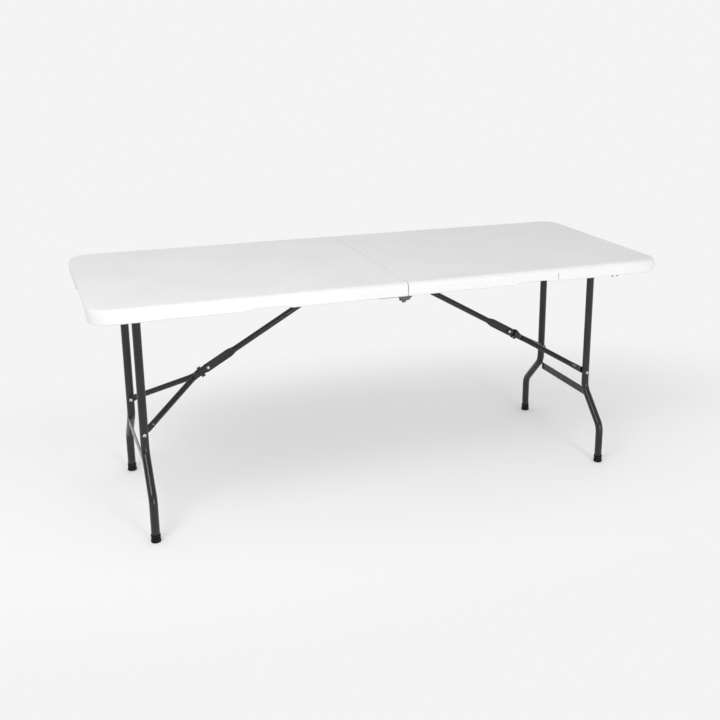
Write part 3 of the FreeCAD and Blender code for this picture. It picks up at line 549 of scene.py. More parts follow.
@dataclass
class TopHalf:
    """One moulded half: a deep rounded edge round a thin panel, open below.

    Args:
        name: left or right.
        side: -1 or 1.
    """

    name: str
    side: int
    length: float = 0.9
    half_width: float = 0.37
    top: float = 0.74
    bottom: float = 0.698
    gap: float = 0.0008
    overrun: float = 0.05
    corner: float = 0.065
    top_round: float = 0.015
    under_round: float = 0.005
    joint_round: float = 0.0034
    well_round: float = 0.004
    lip_round: float = 0.003
    rim: float = 0.028
    centre_wall: float = 0.018
    panel: float = 0.012
    wall_top: float = 0.7275
    wall_slack: float = 0.004
    lip_slack: float = 0.001
    grip: tuple[float, float] = (0.376, 0.462)
    grip_ramp: float = 0.026
    grip_rise: float = 0.006
    end_rise: float = 0.018
    end_span: tuple[float, float] = (-0.05, 0.305)
    end_ramp: float = 0.010
    end_slope: float = 0.030
    end_reach: float = 0.2
    pit_pitch: float = 0.045
    pit_steps: tuple[tuple[float, float], ...] = ((0.011, 0), (0.0025, -0.003), (0.0045, -0.0035))
    slit: tuple[float, float, float] = (0.508, 0.7035, 0.7275)
    slit_half: float = 0.0014
    slit_depth: float = 0.004

    def build(self, shop: Workshop) -> None:
        """Make the half."""
        shaper = Shaper()
        self.block(shaper)
        self.well(shaper)
        self.edges_below(shaper)
        self.pits(shaper)
        if self.side > 0:
            self.front_slit(shaper)
        shop.piece(f"{self.name}_moulded_top", shaper, f"{self.name}_half", Slot.MOULDED, f"{self.name}_top",
                   crease=46)

    def block(self, shaper: Shaper) -> None:
        """Shape the outside."""
        outer, past = self.side * self.length, -self.side * self.overrun
        joint = self.side * self.gap
        shaper.box((min(outer, past), -self.half_width, self.bottom),
                   (max(outer, past), self.half_width, self.top))

        def both(edge: bmesh.types.BMEdge, test: Callable[[Vector], bool]) -> bool:
            """Whether both ends of an edge pass a test."""
            return all(test(vert.co) for vert in edge.verts)

        def upright(edge: bmesh.types.BMEdge) -> bool:
            """Whether an edge runs from the underside to the top."""
            return abs(edge.verts[0].co.z - edge.verts[1].co.z) > (self.top - self.bottom) / 2

        def past_joint(edge: bmesh.types.BMEdge) -> bool:
            """Whether an edge lies on the end that is cut off."""
            return both(edge, lambda p: abs(p.x - past) < ON_LEVEL)

        shaper.round_over(self.corner, 18, lambda e: both(e, lambda p: abs(p.x - outer) < ON_LEVEL)
                          and upright(e))
        shaper.round_over(self.top_round, 7, lambda e: both(e, lambda p: p.z > self.top - ON_LEVEL)
                          and not past_joint(e))
        shaper.round_over(self.under_round, 4, lambda e: both(e, lambda p: p.z < self.bottom + ON_LEVEL)
                          and not past_joint(e))
        cut = bmesh.ops.bisect_plane(
            shaper.mesh, geom=shaper.mesh.verts[:] + shaper.mesh.edges[:] + shaper.mesh.faces[:],
            plane_co=(joint, 0, 0), plane_no=(-self.side, 0, 0), clear_outer=True)
        rim = [item for item in cut["geom_cut"] if isinstance(item, bmesh.types.BMEdge)]
        bmesh.ops.contextual_create(shaper.mesh, geom=rim)
        shaper.round_over(self.joint_round, 3, lambda e: both(e, lambda p: abs(p.x - joint) < ON_CUT))

    def well(self, shaper: Shaper) -> None:
        """Sink the underside between the edges."""
        bmesh.ops.recalc_face_normals(shaper.mesh, faces=shaper.mesh.faces)
        floor = min(shaper.mesh.faces, key=lambda f: (round(f.calc_center_median().z, 4), -f.calc_area()))
        flat_rim = self.rim - self.under_round
        bmesh.ops.inset_region(shaper.mesh, faces=[floor], thickness=flat_rim, use_even_offset=True)
        inner = self.side * (self.gap + self.joint_round + flat_rim)
        for vert in floor.verts:
            if abs(vert.co.x - inner) < self.wall_slack:
                vert.co.x = self.side * (self.gap + self.centre_wall)
        grown = bmesh.ops.extrude_face_region(shaper.mesh, geom=[floor])["geom"]
        lifted = [item for item in grown if isinstance(item, bmesh.types.BMVert)]
        level = self.top - self.panel
        bmesh.ops.translate(shaper.mesh, verts=lifted, vec=(0, 0, level - self.bottom))
        bmesh.ops.delete(shaper.mesh, geom=[floor], context="FACES_ONLY")
        shaper.round_over(self.well_round, 3, lambda e: all(abs(v.co.z - level) < ON_LEVEL for v in e.verts))
        edge_y, edge_x = self.half_width - self.rim + LOOSE, self.length - self.rim + LOOSE

        def on_lip(point: Vector) -> bool:
            """Whether a point lies on the edge round the well's mouth."""
            return abs(point.z - self.bottom) < ON_LEVEL and abs(point.y) < edge_y and abs(point.x) < edge_x

        shaper.round_over(self.lip_round, 3, lambda e: all(on_lip(v.co) for v in e.verts))

    def edges_below(self, shaper: Shaper) -> None:
        """Raise the lower edge at the hand grips and along part of the end."""
        start, stop = self.grip
        ramp = self.grip_ramp
        for x in (start - ramp, start - ramp / 2, start, stop, stop + ramp / 2, stop + ramp):
            shaper.slice((self.side * x, 0, 0), ALONG, lambda p: p.z < self.wall_top)
        low, high = self.end_span
        rise, fall = self.end_ramp, self.end_slope
        for y in (low - rise, low - rise / 2, low, high - fall, high - fall / 2, high):
            shaper.slice((0, self.side * y, 0), ACROSS,
                         lambda p: p.z < self.wall_top and abs(p.x) > self.length - self.end_reach)
        for vert in shaper.mesh.verts:
            if vert.co.z > self.bottom + self.under_round + self.lip_slack:
                continue
            x, y = abs(vert.co.x), self.side * vert.co.y
            if abs(vert.co.y) > self.half_width - self.rim - self.wall_slack:
                share = min((x - start) / ramp + 1, (stop - x) / ramp + 1)
                vert.co.z += self.grip_rise * smooth_step(share)
            if x > self.length - self.rim - self.wall_slack:
                share = min((y - low) / rise + 1, (high - y) / fall)
                vert.co.z += self.end_rise * smooth_step(share)

    def pits(self, shaper: Shaper) -> None:
        """Press a grid of square pits, where the two skins of the moulding meet, into the underside."""
        level = self.top - self.panel
        nearly = 0.98

        def on_floor(point: Vector) -> bool:
            """Whether a point lies on the well's floor."""
            return abs(point.z - level) < ON_LEVEL

        inside = self.length - self.rim - self.centre_wall
        columns = int(inside / self.pit_pitch)
        rows = int(2 * (self.half_width - self.rim) / self.pit_pitch)
        first_x = self.centre_wall + (inside - columns * self.pit_pitch) / 2
        first_y = -rows * self.pit_pitch / 2
        for i in range(columns + 1):
            shaper.slice((self.side * (first_x + i * self.pit_pitch), 0, 0), ALONG, on_floor)
        for j in range(rows + 1):
            shaper.slice((0, first_y + j * self.pit_pitch, 0), ACROSS, on_floor)
        whole = nearly * self.pit_pitch ** 2
        cells = [f for f in shaper.mesh.faces
                 if len(f.verts) == 4 and on_floor(f.calc_center_median()) and f.calc_area() > whole]
        for inward, deep in self.pit_steps:
            bmesh.ops.inset_individual(shaper.mesh, faces=cells, thickness=inward, depth=deep)

    def front_slit(self, shaper: Shaper) -> None:
        """Cut the short upright slit in the front edge."""
        x, low, high = self.slit

        def on_front(point: Vector) -> bool:
            """Whether a point lies on the front edge's face."""
            return point.y < -self.half_width + LOOSE

        def on_strip(point: Vector) -> bool:
            """Whether a point lies on the slit's strip of that face."""
            return on_front(point) and abs(point.x - x) < self.slit_half - LOOSE

        for offset in (-self.slit_half, self.slit_half):
            shaper.slice((x + offset, 0, 0), ALONG, on_front)
        for level in (low, high):
            shaper.slice((0, 0, level), UP, on_strip)
        middles = ((face, face.calc_center_median()) for face in shaper.mesh.faces)
        slot = [face for face, middle in middles if on_strip(middle) and low < middle.z < high]
        bmesh.ops.inset_individual(shaper.mesh, faces=slot, thickness=LOOSE, depth=-self.slit_depth)


# ---------------------------------------------------------------- rails and half hinge


@dataclass
class Undercarriage:
    """What is screwed under one half: rails, screws, bushes and hinge leaves.

    Args:
        name: left or right.
        side: -1 or 1.
    """

    name: str
    side: int
    panel_under: float = 0.728
    rail_y: tuple[float, float] = (0.305, 0.325)
    rail_x: tuple[float, float] = (0.020, 0.800)
    rail_bottom: float = 0.6945
    rail_bend: float = 0.0022
    sheet: float = 0.0015
    screw_shares: tuple[float, ...] = (0.08, 0.36, 0.64, 0.92)
    leg_pivot: tuple[float, float, float] = (0.758, 0.706, 0.010)
    brace_pivot: tuple[float, float, float] = (0.036, 0.712, 0.009)
    bush_wall: float = 0.0016
    bush_fit: float = 0.00005
    bush_length: float = 0.022
    flange: float = 0.002
    hinge_z: float = 0.678
    ear: float = 0.010
    leaf_sheet: float = 0.003
    notch_gap: float = 0.0002
    pan_screw: Profile = ((0, 0.0098), (0.002, 0.0094), (0.002, 0), (0.0045, 0), (0.0045, -0.0007),
                          (0.0040, -0.0016), (0.0028, -0.0022), (0.0015, -0.0024), (0.0012, -0.0012),
                          (0, -0.0011))

    def build(self, shop: Workshop) -> None:
        """Make all of it."""
        for face_name, face in FACES:
            self.rail(shop, face_name, face)
            self.leaf(shop, face_name, face)
        self.screws(shop)
        self.bushes(shop, "leg_pivot", self.leg_pivot)
        self.bushes(shop, "brace_pivot", self.brace_pivot)

    def rail(self, shop: Workshop, face_name: str, face: int) -> None:
        """Fold a sheet channel, open below."""
        shaper = Shaper()
        inset = self.sheet / 2
        inner, outer = self.rail_y[0] + inset, self.rail_y[1] - inset
        low, high = self.rail_bottom, self.panel_under - inset
        profile = ((inner, low), (inner, high), (outer, high), (outer, low))
        start, end = (self.side * x for x in self.rail_x)
        corners = [shaper.mesh.verts.new((start, face * y, z)) for y, z in profile]
        edges = [shaper.mesh.edges.new(pair) for pair in zip(corners, corners[1:])]
        grown = bmesh.ops.extrude_edge_only(shaper.mesh, edges=edges)["geom"]
        moved = [item for item in grown if isinstance(item, bmesh.types.BMVert)]
        bmesh.ops.translate(shaper.mesh, verts=moved, vec=(end - start, 0, 0))
        shaper.round_over(self.rail_bend, 4, lambda e: len(e.link_faces) == 2 and e.calc_face_angle(0) > 1)
        bmesh.ops.recalc_face_normals(shaper.mesh, faces=shaper.mesh.faces)
        bmesh.ops.solidify(shaper.mesh, geom=shaper.mesh.faces[:], thickness=self.sheet)
        middle = sum(self.rail_y) / 2
        reaches = [vert.co.y * face for vert in shaper.mesh.verts]
        shift = face * (middle - (min(reaches) + max(reaches)) / 2)
        lift = self.panel_under - max(vert.co.z for vert in shaper.mesh.verts)
        bmesh.ops.translate(shaper.mesh, verts=shaper.mesh.verts, vec=(0, shift, min(lift, 0)))
        shop.piece(f"{self.name}_{face_name}_channel", shaper, f"{self.name}_half", Slot.RAIL,
                   f"{self.name}_{face_name}_rail")

    def leaf(self, shop: Workshop, face_name: str, face: int) -> None:
        """Cut a hinge leaf out of plate, with an ear on the pin and a notch round the bush."""
        shaper = Shaper()
        sheet = self.leaf_sheet
        inner = self.rail_y[0] - sheet if self.side > 0 else self.rail_y[1]
        x, z, tube = self.brace_pivot
        room = tube + self.bush_wall + self.flange + self.notch_gap
        neck, top, deep = 0.686, 0.724, self.hinge_z - self.ear
        step_x, step_z, tip, chamfer = 0.021, 0.697, 0.080, 0.002
        notch = [(x + room * math.cos(a), z + room * math.sin(a))
                 for a in (math.radians(-180 * i / 14) for i in range(15))]
        ear = [(self.ear * math.cos(a), self.hinge_z + self.ear * math.sin(a))
               for a in (math.radians(60 + i * 11) for i in range(22))]
        if self.side > 0:
            ear = [(max(u, -0.004), v) for u, v in ear if u < 0.001]
            ear = [point for point, after in zip(ear, ear[1:] + [(1, 1)]) if math.dist(point, after) > 0.0005]
            under = [(0.025, deep), (0.028, deep + 0.001), (0.044, neck)]
        else:
            under = [(0.0085, neck - 0.003), (0.012, neck)]
        end = [(tip - chamfer, neck), (tip, neck + chamfer), (tip, top - chamfer), (tip - chamfer, top)]
        step = [(step_x, top), (step_x, step_z), (0.006, step_z)]
        outline = ear + under + end + [(x + room, top)] + notch + [(x - room, top)] + step
        shaper.plate([Vector((self.side * u, face * inner, v)) for u, v in outline], ACROSS * face * sheet)
        shaper.round_sharp(0.0004, 2, 50)
        shop.piece(f"{self.name}_{face_name}_hinge_plate", shaper, f"{self.name}_half", Slot.HINGE,
                   f"{self.name}_{face_name}_hinge_leaf")
        heads = Shaper()
        outside = self.rail_y[1] + sheet if self.side < 0 else self.rail_y[0] - sheet
        spots = [(0.064, 0.704, 0.0045)]
        if self.side > 0:
            spots.append((0.021, 0.6745, 0.0036))
        for u, v, radius in spots:
            heads.turned(RivetHead(radius, 0.0018).profile(), Vector((self.side * u, face * outside, v)),
                         ACROSS * -face * self.side)
        shop.piece(f"{self.name}_{face_name}_hinge_rivets", heads, f"{self.name}_half", Slot.ZINC)

    def screws(self, shop: Workshop) -> None:
        """Drive the pan-head screws up through the rails."""
        shaper = Shaper()
        middle = sum(self.rail_y) / 2
        for share in self.screw_shares:
            x = self.side * mix(*self.rail_x, share)
            for _, face in FACES:
                foot = Vector((x, face * middle, self.panel_under - self.sheet))
                shaper.turned(self.pan_screw, foot, UP, steps=16)
        shop.piece(f"{self.name}_pan_screws", shaper, f"{self.name}_half", Slot.ZINC,
                   f"{self.name}_rail_screws")

    def bushes(self, shop: Workshop, kind: str, seat: tuple[float, float, float]) -> None:
        """Turn the flanged bushes of one pivot tube."""
        x, z, tube = seat
        bore, thick, long = tube + self.bush_fit, self.flange, self.bush_length
        outer = bore + self.bush_wall
        rim, edge = outer + self.flange, 0.0005
        profile = ((bore, 0), (rim - edge, 0), (rim, edge), (rim, thick - edge), (rim - edge, thick),
                   (outer, thick), (outer, long - edge), (outer - edge, long), (bore, long))
        shaper = Shaper()
        for _, face in FACES:
            foot = Vector((self.side * x, face * (self.rail_y[0] - thick), z))
            shaper.turned(profile, foot, ACROSS * face, closed=True, steps=32)
        shop.piece(f"{self.name}_{kind}_collars", shaper, f"{self.name}_half", Slot.NYLON,
                   f"{self.name}_{kind}_bushes")


@dataclass(frozen=True)
class RivetHead:
    """A hollow rivet's rolled head.

    Args:
        radius: of the head.
        height: above the surface.
        sink: below the surface.
    """

    radius: float
    height: float
    sink: float = 0.001

    def profile(self) -> Profile:
        """Radius and height from the middle of the hollow out to the foot."""
        rolled = ((0, 0.12), (0.26, 0.14), (0.34, 0.45), (0.42, 0.82), (0.56, 1), (0.74, 0.93), (0.9, 0.66),
                  (1, 0.25))
        head = [(self.radius * out, self.height * up) for out, up in rolled]
        return head + [(self.radius, -self.sink), (0, -self.sink)]


@dataclass
class HalfHinge:
    """The two pins that the halves fold on, and the locating studs."""

    hinge_z: float = 0.678
    reach: tuple[float, float] = (0.3017, 0.3283)
    pin: float = 0.004
    head: float = 0.0055
    head_height: float = 0.0021
    stud_x: tuple[float, float] = (0.716, 0.7335)
    stud_y: float = -0.358
    stud_z: float = 0.698
    stud: float = 0.0035

    def build(self, shop: Workshop) -> None:
        """Make the pins and the studs."""
        for face_name, face in FACES:
            shaper = Shaper()
            start, end = self.reach
            long = end - start
            turns = [math.radians(15 * i) for i in range(6)]
            dome = [(self.head * math.cos(turn), self.head_height * math.sin(turn)) for turn in turns]
            dome.append((0, self.head_height))
            profile = [(radius, -height) for radius, height in reversed(dome)]
            profile += [(self.pin, 0), (self.pin, long)]
            profile += [(radius, long + height) for radius, height in dome]
            shaper.turned(profile, Vector((0, face * start, self.hinge_z)), ACROSS * face)
            shop.piece(f"{face_name}_pin", shaper, "right_half", Slot.HINGE, f"{face_name}_hinge_pin")
        studs = Shaper()
        profile = ((0, 0.002), (self.stud, 0.002), (self.stud, -0.002), (self.stud * 0.9, -0.0034),
                   (self.stud * 0.6, -0.0046), (0, -0.005))
        for x in self.stud_x:
            studs.turned(profile, Vector((x, self.stud_y, self.stud_z)), UP, steps=20)
        shop.piece("rubber_studs", studs, "right_half", Slot.RUBBER, "locating_studs")


# ---------------------------------------------------------------- leg frames


@dataclass
class LegFrame:
    """Two bent legs on a pivot tube, with a flat stay, caps and rivets.

    Args:
        name: left or right.
        side: -1 or 1.
    """

    name: str
    side: int
    x: float = 0.758
    pivot_z: float = 0.706
    pivot_radius: float = 0.010
    pivot_half: float = 0.329
    wall: float = 0.0015
    leg_radius: float = 0.0125
    top: float = 0.710
    upper_y: float = 0.161
    foot_y: float = 0.270
    bend_top: float = 0.264
    bend_foot: float = 0.108
    bend: float = 0.055
    leg_start: float = 0.004
    leg_end: float = 0.0012
    leg_straight: float = 0.012
    stay_z: float = 0.219
    stay_half: float = 0.013
    stay_x: float = 0.0065
    stay_sheet: float = 0.003
    rivet_z: float = 0.297
    foot_cap: Profile = ((0, 0.0012), (0.006, 0.0012), (0.0075, 0), (0.0122, 0), (0.0142, 0.0009),
                         (0.0149, 0.0026), (0.0149, 0.0062), (0.0143, 0.0084), (0.0139, 0.0105),
                         (0.0138, 0.0205), (0.0144, 0.0218), (0.0145, 0.0236), (0.0139, 0.0248),
                         (0.0128, 0.025), (0.0126, 0.0246), (0.0126, 0.0045), (0, 0.0045))

    def spot(self, y: float, z: float) -> Vector:
        """A place in the legs' plane."""
        return Vector((self.side * self.x, y, z))

    def build(self, shop: Workshop) -> None:
        """Make all of it."""
        body = f"{self.name}_leg_frame"
        for face_name, face in FACES:
            self.leg(shop, body, face_name, face)
            self.cap(shop, body, face_name, face)
        self.pivot(shop, body)
        self.stay(shop, body)
        self.welds(shop, body)
        self.rivets(shop, body)

    def centre_line(self) -> list[tuple[float, float, float]]:
        """Y, Z and direction, in radians from straight down, of points down the leg."""
        first = Vector((self.upper_y + self.bend, self.bend_top))
        second = Vector((self.foot_y - self.bend, self.bend_foot))
        between = second - first
        swing = math.atan2(between.y, between.x) + math.acos(-2 * self.bend / between.length)
        slant = math.remainder(swing, 2 * math.pi)
        straight = self.top - self.leg_straight
        rows = [(self.upper_y, self.top - self.leg_end, 0.0), (self.upper_y, straight, 0.0)]
        rows += [(self.upper_y, mix(straight, self.bend_top, i / 8), 0.0) for i in range(1, 8)]
        turns = [slant * i / 10 for i in range(11)]
        bends = [(self.bend * math.cos(turn), self.bend * math.sin(turn), turn) for turn in turns]
        rows += [(first.x - y, first.y - z, turn) for y, z, turn in bends]
        rows += [(second.x + y, second.y + z, turn) for y, z, turn in reversed(bends)]
        rows += [(self.foot_y, mix(self.bend_foot, self.leg_start, i / 4), 0.0) for i in range(1, 5)]
        return rows

    def leg(self, shop: Workshop, body: str, face_name: str, face: int) -> None:
        """Sweep a leg tube down its bends."""
        shaper = Shaper()
        small, full = self.leg_radius - self.leg_end, self.leg_radius
        stations = [Station(self.spot(face * self.upper_y, self.top), ALONG, ACROSS, small, small)]
        for y, z, turn in self.centre_line():
            out = Vector((0, face * math.cos(turn), math.sin(turn)))
            stations.append(Station(self.spot(face * y, z), ALONG, out, full, full))
        shaper.swept(stations, segments=36)
        shop.piece(f"{self.name}_{face_name}_bent_leg", shaper, body, Slot.COATED,
                   f"{self.name}_{face_name}_leg", crease=50)

    def cap(self, shop: Workshop, body: str, face_name: str, face: int) -> None:
        """Turn the rubber cap: a flared foot, a waist and a bead round the mouth."""
        shaper = Shaper()
        shaper.turned(self.foot_cap, self.spot(face * self.foot_y, 0), UP, steps=40)
        shop.piece(f"{self.name}_{face_name}_rubber_foot", shaper, body, Slot.RUBBER,
                   f"{self.name}_{face_name}_foot_cap")

    def pivot(self, shop: Workshop, body: str) -> None:
        """Turn the open pivot tube."""
        shaper = Shaper()
        shaper.turned(tube_profile(self.pivot_radius, self.wall, 2 * self.pivot_half),
                      self.spot(-self.pivot_half, self.pivot_z), ACROSS, closed=True, steps=36)
        shop.piece(f"{self.name}_leg_axle", shaper, body, Slot.COATED, f"{self.name}_leg_pivot_tube")

    def stay(self, shop: Workshop, body: str) -> None:
        """Cut the flat stay, whose ends sink into the legs."""
        shaper = Shaper()
        near, far = (self.side * (self.x + self.stay_x + offset) for offset in (0, self.stay_sheet))
        shaper.box((min(near, far), -self.upper_y, self.stay_z - self.stay_half),
                   (max(near, far), self.upper_y, self.stay_z + self.stay_half))
        shaper.round_sharp(0.0009, 3)
        shop.piece(f"{self.name}_flat_stay", shaper, body, Slot.COATED, f"{self.name}_cross_stay")

    def welds(self, shop: Workshop, body: str) -> None:
        """Run the beads that join the axle and the stay to the legs."""
        shaper = Shaper()
        x = self.side * (self.x + self.stay_x - 0.0004)
        for _, face in FACES:
            for outward in (-1, 1):
                shaper.swept(self.saddle(face, outward), closed=True, segments=8)
            reach = face * (self.upper_y - math.sqrt(self.leg_radius ** 2 - self.stay_x ** 2))
            rows = []
            for i in range(13):
                rise = (i / 12 - 0.5) * 2
                size = 0.0017 * math.sqrt(max(1 - rise ** 4, 0.02)) * (1 + 0.12 * math.cos(9 * rise))
                centre = Vector((x, reach, self.stay_z + rise * (self.stay_half - 0.001)))
                rows.append(Station(centre, ALONG, ACROSS, size, size))
            shaper.swept(rows, segments=8)
        shop.piece(f"{self.name}_weld_beads", shaper, body, Slot.COATED)

    def saddle(self, face: int, outward: int) -> list[Station]:
        """The bead's sections round the axle where one side of a leg meets it."""
        rows = []
        for i in range(40):
            angle = 2 * math.pi * i / 40
            offset = math.sqrt(self.leg_radius ** 2 - (self.pivot_radius * math.cos(angle)) ** 2)
            out = Vector((math.cos(angle), 0, math.sin(angle)))
            centre = self.spot(face * (self.upper_y + outward * offset), self.pivot_z)
            size = 0.0015 + 0.0002 * math.cos(11 * angle)
            rows.append(Station(centre + out * self.pivot_radius, out, ACROSS, size, size))
        return rows

    def rivets(self, shop: Workshop, body: str) -> None:
        """Set the hollow rivets that pin the brace arms."""
        shaper = Shaper()
        pin, long = 0.004, 0.0023
        for _, face in FACES:
            outer = self.spot(face * (self.upper_y + self.leg_radius - 0.0006), self.rivet_z)
            shaper.turned(RivetHead(0.0055, 0.0024, 0.002).profile(), outer, ACROSS * face)
            inner = self.spot(face * (self.upper_y - self.leg_radius + 0.002), self.rivet_z)
            shaper.turned(((0, 0), (pin, 0), (pin, long), (0, long)), inner, ACROSS * -face)
        shop.piece(f"{self.name}_leg_rivet_heads", shaper, body, Slot.ZINC, f"{self.name}_leg_rivets")


def tube_profile(radius: float, wall: float, length: float) -> Profile:
    """The closed profile of an open tube with softened ends."""
    soft = 0.0004
    bore = radius - wall
    return ((bore, soft), (bore + soft, 0), (radius - soft, 0), (radius, soft), (radius, length - soft),
            (radius - soft, length), (bore + soft, length), (bore, length - soft))


# ---------------------------------------------------------------- folding braces


@dataclass
class Brace:
    """A link on the half, two arms to the legs, and the ring that locks them in line.

    Args:
        name: left or right.
        side: -1 or 1.
    """

    name: str
    side: int
    joint: tuple[float, float] = (0.532682, 0.426511)
    slope: float = math.radians(29.88996)
    link_length: float = 0.572885
    arm_length: float = 0.259887
    pivot: tuple[float, float, float] = (0.036, 0.712, 0.009)
    pivot_half: float = 0.329
    wall: float = 0.0015
    link_radius: float = 0.0095
    link_flat: tuple[float, float] = (0.002, 0.014)
    flat_length: float = 0.072
    taper: float = 0.030
    tail: float = 0.017
    tail_round: float = 0.0105
    tongue: tuple[float, float, float] = (0.047, 0.0045, 0.0085)
    arm_radius: float = 0.009
    arm_flat: tuple[float, float] = (0.0015, 0.010)
    arm_near_y: float = 0.0038
    arm_far_y: float = 0.1458
    arm_straight: float = 0.050
    arm_foot: float = 0.016
    arm_tail: float = 0.011
    arm_taper: float = 0.026
    foot_taper: float = 0.046
    ring_centre: float = 0.025
    ring_length: float = 0.012
    ring_inside: tuple[float, float] = (0.0098, 0.0143)
    ring_wall: float = 0.0016
    ring_round: float = 0.0035
    tip_area: float = 1e-8

    def at(self, along: float, y: float, rise: float) -> Vector:
        """A place from the joint: down the brace, across the table and square above the brace."""
        x = self.joint[0] + along * math.cos(self.slope) + rise * math.sin(self.slope)
        z = self.joint[1] - along * math.sin(self.slope) + rise * math.cos(self.slope)
        return Vector((self.side * x, y, z))

    def way(self, along: float, y: float, rise: float) -> Vector:
        """A direction in the brace's own axes."""
        return self.at(along, y, rise) - self.at(0, 0, 0)

    def build(self, shop: Workshop) -> None:
        """Make all of it."""
        link, arms = f"{self.name}_brace_link", f"{self.name}_brace_arms"
        self.link(shop, link)
        self.axle(shop, link)
        self.link_rivets(shop, link)
        for face_name, face in FACES:
            self.arm(shop, arms, face_name, face)
        self.arm_rivets(shop, arms)
        self.ring(shop, f"{self.name}_lock_ring")

    def link(self, shop: Workshop, body: str) -> None:
        """Sweep the link: tube, pressed flat and rounded end, with its tongue."""
        shaper = Shaper()
        thin, wide = self.link_flat
        flat_start, taper_start = -self.flat_length, -self.flat_length - self.taper
        round_start = self.tail - self.tail_round
        spots = [-self.link_length + 0.004, -0.45, -0.3, -0.2, -0.14, -0.115]
        spots += [mix(taper_start, flat_start, i / 12) for i in range(13)]
        spots += [-0.05, -0.025, 0.0]
        turns = map(math.radians, (0, 15, 30, 45, 60, 72, 82, 88))
        spots += [self.tail - self.tail_round * (1 - math.sin(turn)) for turn in turns]
        rows = []
        for x in spots:
            press = smooth_step((x - taper_start) / self.taper)
            half = mix(self.link_radius, wide, smooth_step((x - taper_start) / self.taper * 1.15))
            past = max(x - round_start, 0)
            half -= self.tail_round - math.sqrt(max(self.tail_round ** 2 - past ** 2, 0))
            thick = mix(self.link_radius, thin, press)
            square = mix(2.0, 7.0, press)
            rows.append(Station(self.at(x, 0, 0), ACROSS, self.way(0, 0, 1), thick, half, square))
        shaper.swept(rows, segments=48)
        tip, middle, half = self.tongue
        turns = map(math.radians, (0, 20, 40, 60, 75, 86))
        rows = []
        for x in [0.002] + [tip - half * (1 - math.sin(turn)) for turn in turns]:
            past = max(x - (tip - half), 0)
            rows.append(Station(self.at(x, 0, middle), ACROSS, self.way(0, 0, 1), thin - 0.0002,
                                math.sqrt(max(half ** 2 - past ** 2, self.tip_area)), 8.0))
        shaper.swept(rows, segments=32)
        shop.piece(f"{self.name}_pressed_link", shaper, body, Slot.COATED, f"{self.name}_brace_link",
                   crease=55)

    def axle(self, shop: Workshop, body: str) -> None:
        """Turn the brace's pivot tube and run the bead round the link."""
        x, z, radius = self.pivot
        shaper = Shaper()
        shaper.turned(tube_profile(radius, self.wall, 2 * self.pivot_half),
                      Vector((self.side * x, -self.pivot_half, z)), ACROSS, closed=True, steps=36)
        shop.piece(f"{self.name}_brace_axle", shaper, body, Slot.COATED, f"{self.name}_brace_pivot_tube")
        bead = Shaper()
        rows = []
        for i in range(36):
            angle = 2 * math.pi * i / 36
            y, rise = self.link_radius * math.cos(angle), self.link_radius * math.sin(angle)
            reach = math.sqrt(max(radius ** 2 - rise ** 2, 0))
            out = (self.way(0, 0, 1) * math.sin(angle) + ACROSS * math.cos(angle)).normalized()
            size = 0.0016 + 0.0002 * math.cos(8 * angle)
            centre = self.at(-self.link_length + reach + 0.0006, y, rise)
            rows.append(Station(centre, self.way(1, 0, 0), out, size, size))
        bead.swept(rows, closed=True, segments=8)
        shop.piece(f"{self.name}_link_weld", bead, body, Slot.COATED)

    def link_rivets(self, shop: Workshop, body: str) -> None:
        """Set the joint rivet and the small stop."""
        shaper = Shaper()
        reach, pin = self.arm_near_y + self.arm_flat[0], 0.0038
        for _, face in FACES:
            shaper.turned(RivetHead(0.0052, 0.0021).profile(), self.at(0, face * reach, 0), ACROSS * face)
        shaper.turned(((0, -reach), (pin, -reach), (pin, reach), (0, reach)), self.at(0, 0, 0), ACROSS)
        shop.piece(f"{self.name}_joint_rivet_heads", shaper, body, Slot.ZINC, f"{self.name}_joint_rivet")
        stop = Shaper()
        for _, face in FACES:
            foot = self.at(-0.060, face * self.link_flat[0], 0.009)
            stop.turned(RivetHead(0.003, 0.0014).profile(), foot, ACROSS * face, steps=18)
        shop.piece(f"{self.name}_ring_stop", stop, body, Slot.COATED, f"{self.name}_link_rivet")

    def arm(self, shop: Workshop, body: str, face_name: str, face: int) -> None:
        """Sweep an arm: flat by the link, round between, flat by the leg."""
        thin, wide = self.arm_flat
        foot_bend = self.arm_length - self.arm_foot
        near, far = self.arm_near_y, self.arm_far_y
        corners = [Vector((-wide, near)), Vector((self.arm_straight, near)), Vector((foot_bend, far)),
                   Vector((self.arm_length + self.arm_tail, far))]
        path = rounded_path(corners, radius=0.009, step=0.005)
        whole = path[-1][2]
        first = wide + self.arm_straight
        last = whole - self.arm_foot - self.arm_tail
        ends = [wide * (1 - math.cos(math.radians(turn))) for turn in (4, 14, 28, 42, 56, 70, 80, 90)]
        walk = ends + [walked for _, _, walked in path if wide < walked < whole - wide]
        walk += [whole - walked for walked in reversed(ends)]
        shaper, rows = Shaper(), []
        for distance in walk:
            place, heading = self.walk_to(path, distance)
            leaving = smooth_step((distance - first) / self.arm_taper)
            press = 1 - leaving * smooth_step((last - distance) / self.foot_taper)
            inset = max(wide - distance, wide - (whole - distance), 0)
            tip = math.sqrt(max(wide ** 2 - inset ** 2, self.tip_area))
            half = mix(self.arm_radius, wide, press) - wide + tip
            side = self.way(-heading.y, 0, 0) + ACROSS * face * heading.x
            rows.append(Station(self.at(place.x, face * place.y, 0), side.normalized(), self.way(0, 0, 1),
                                mix(self.arm_radius, thin, press), half, mix(2.0, 6.0, press ** 3)))
        shaper.swept(rows, segments=36)
        shop.piece(f"{self.name}_{face_name}_pressed_arm", shaper, body, Slot.COATED,
                   f"{self.name}_{face_name}_brace_arm", crease=55)

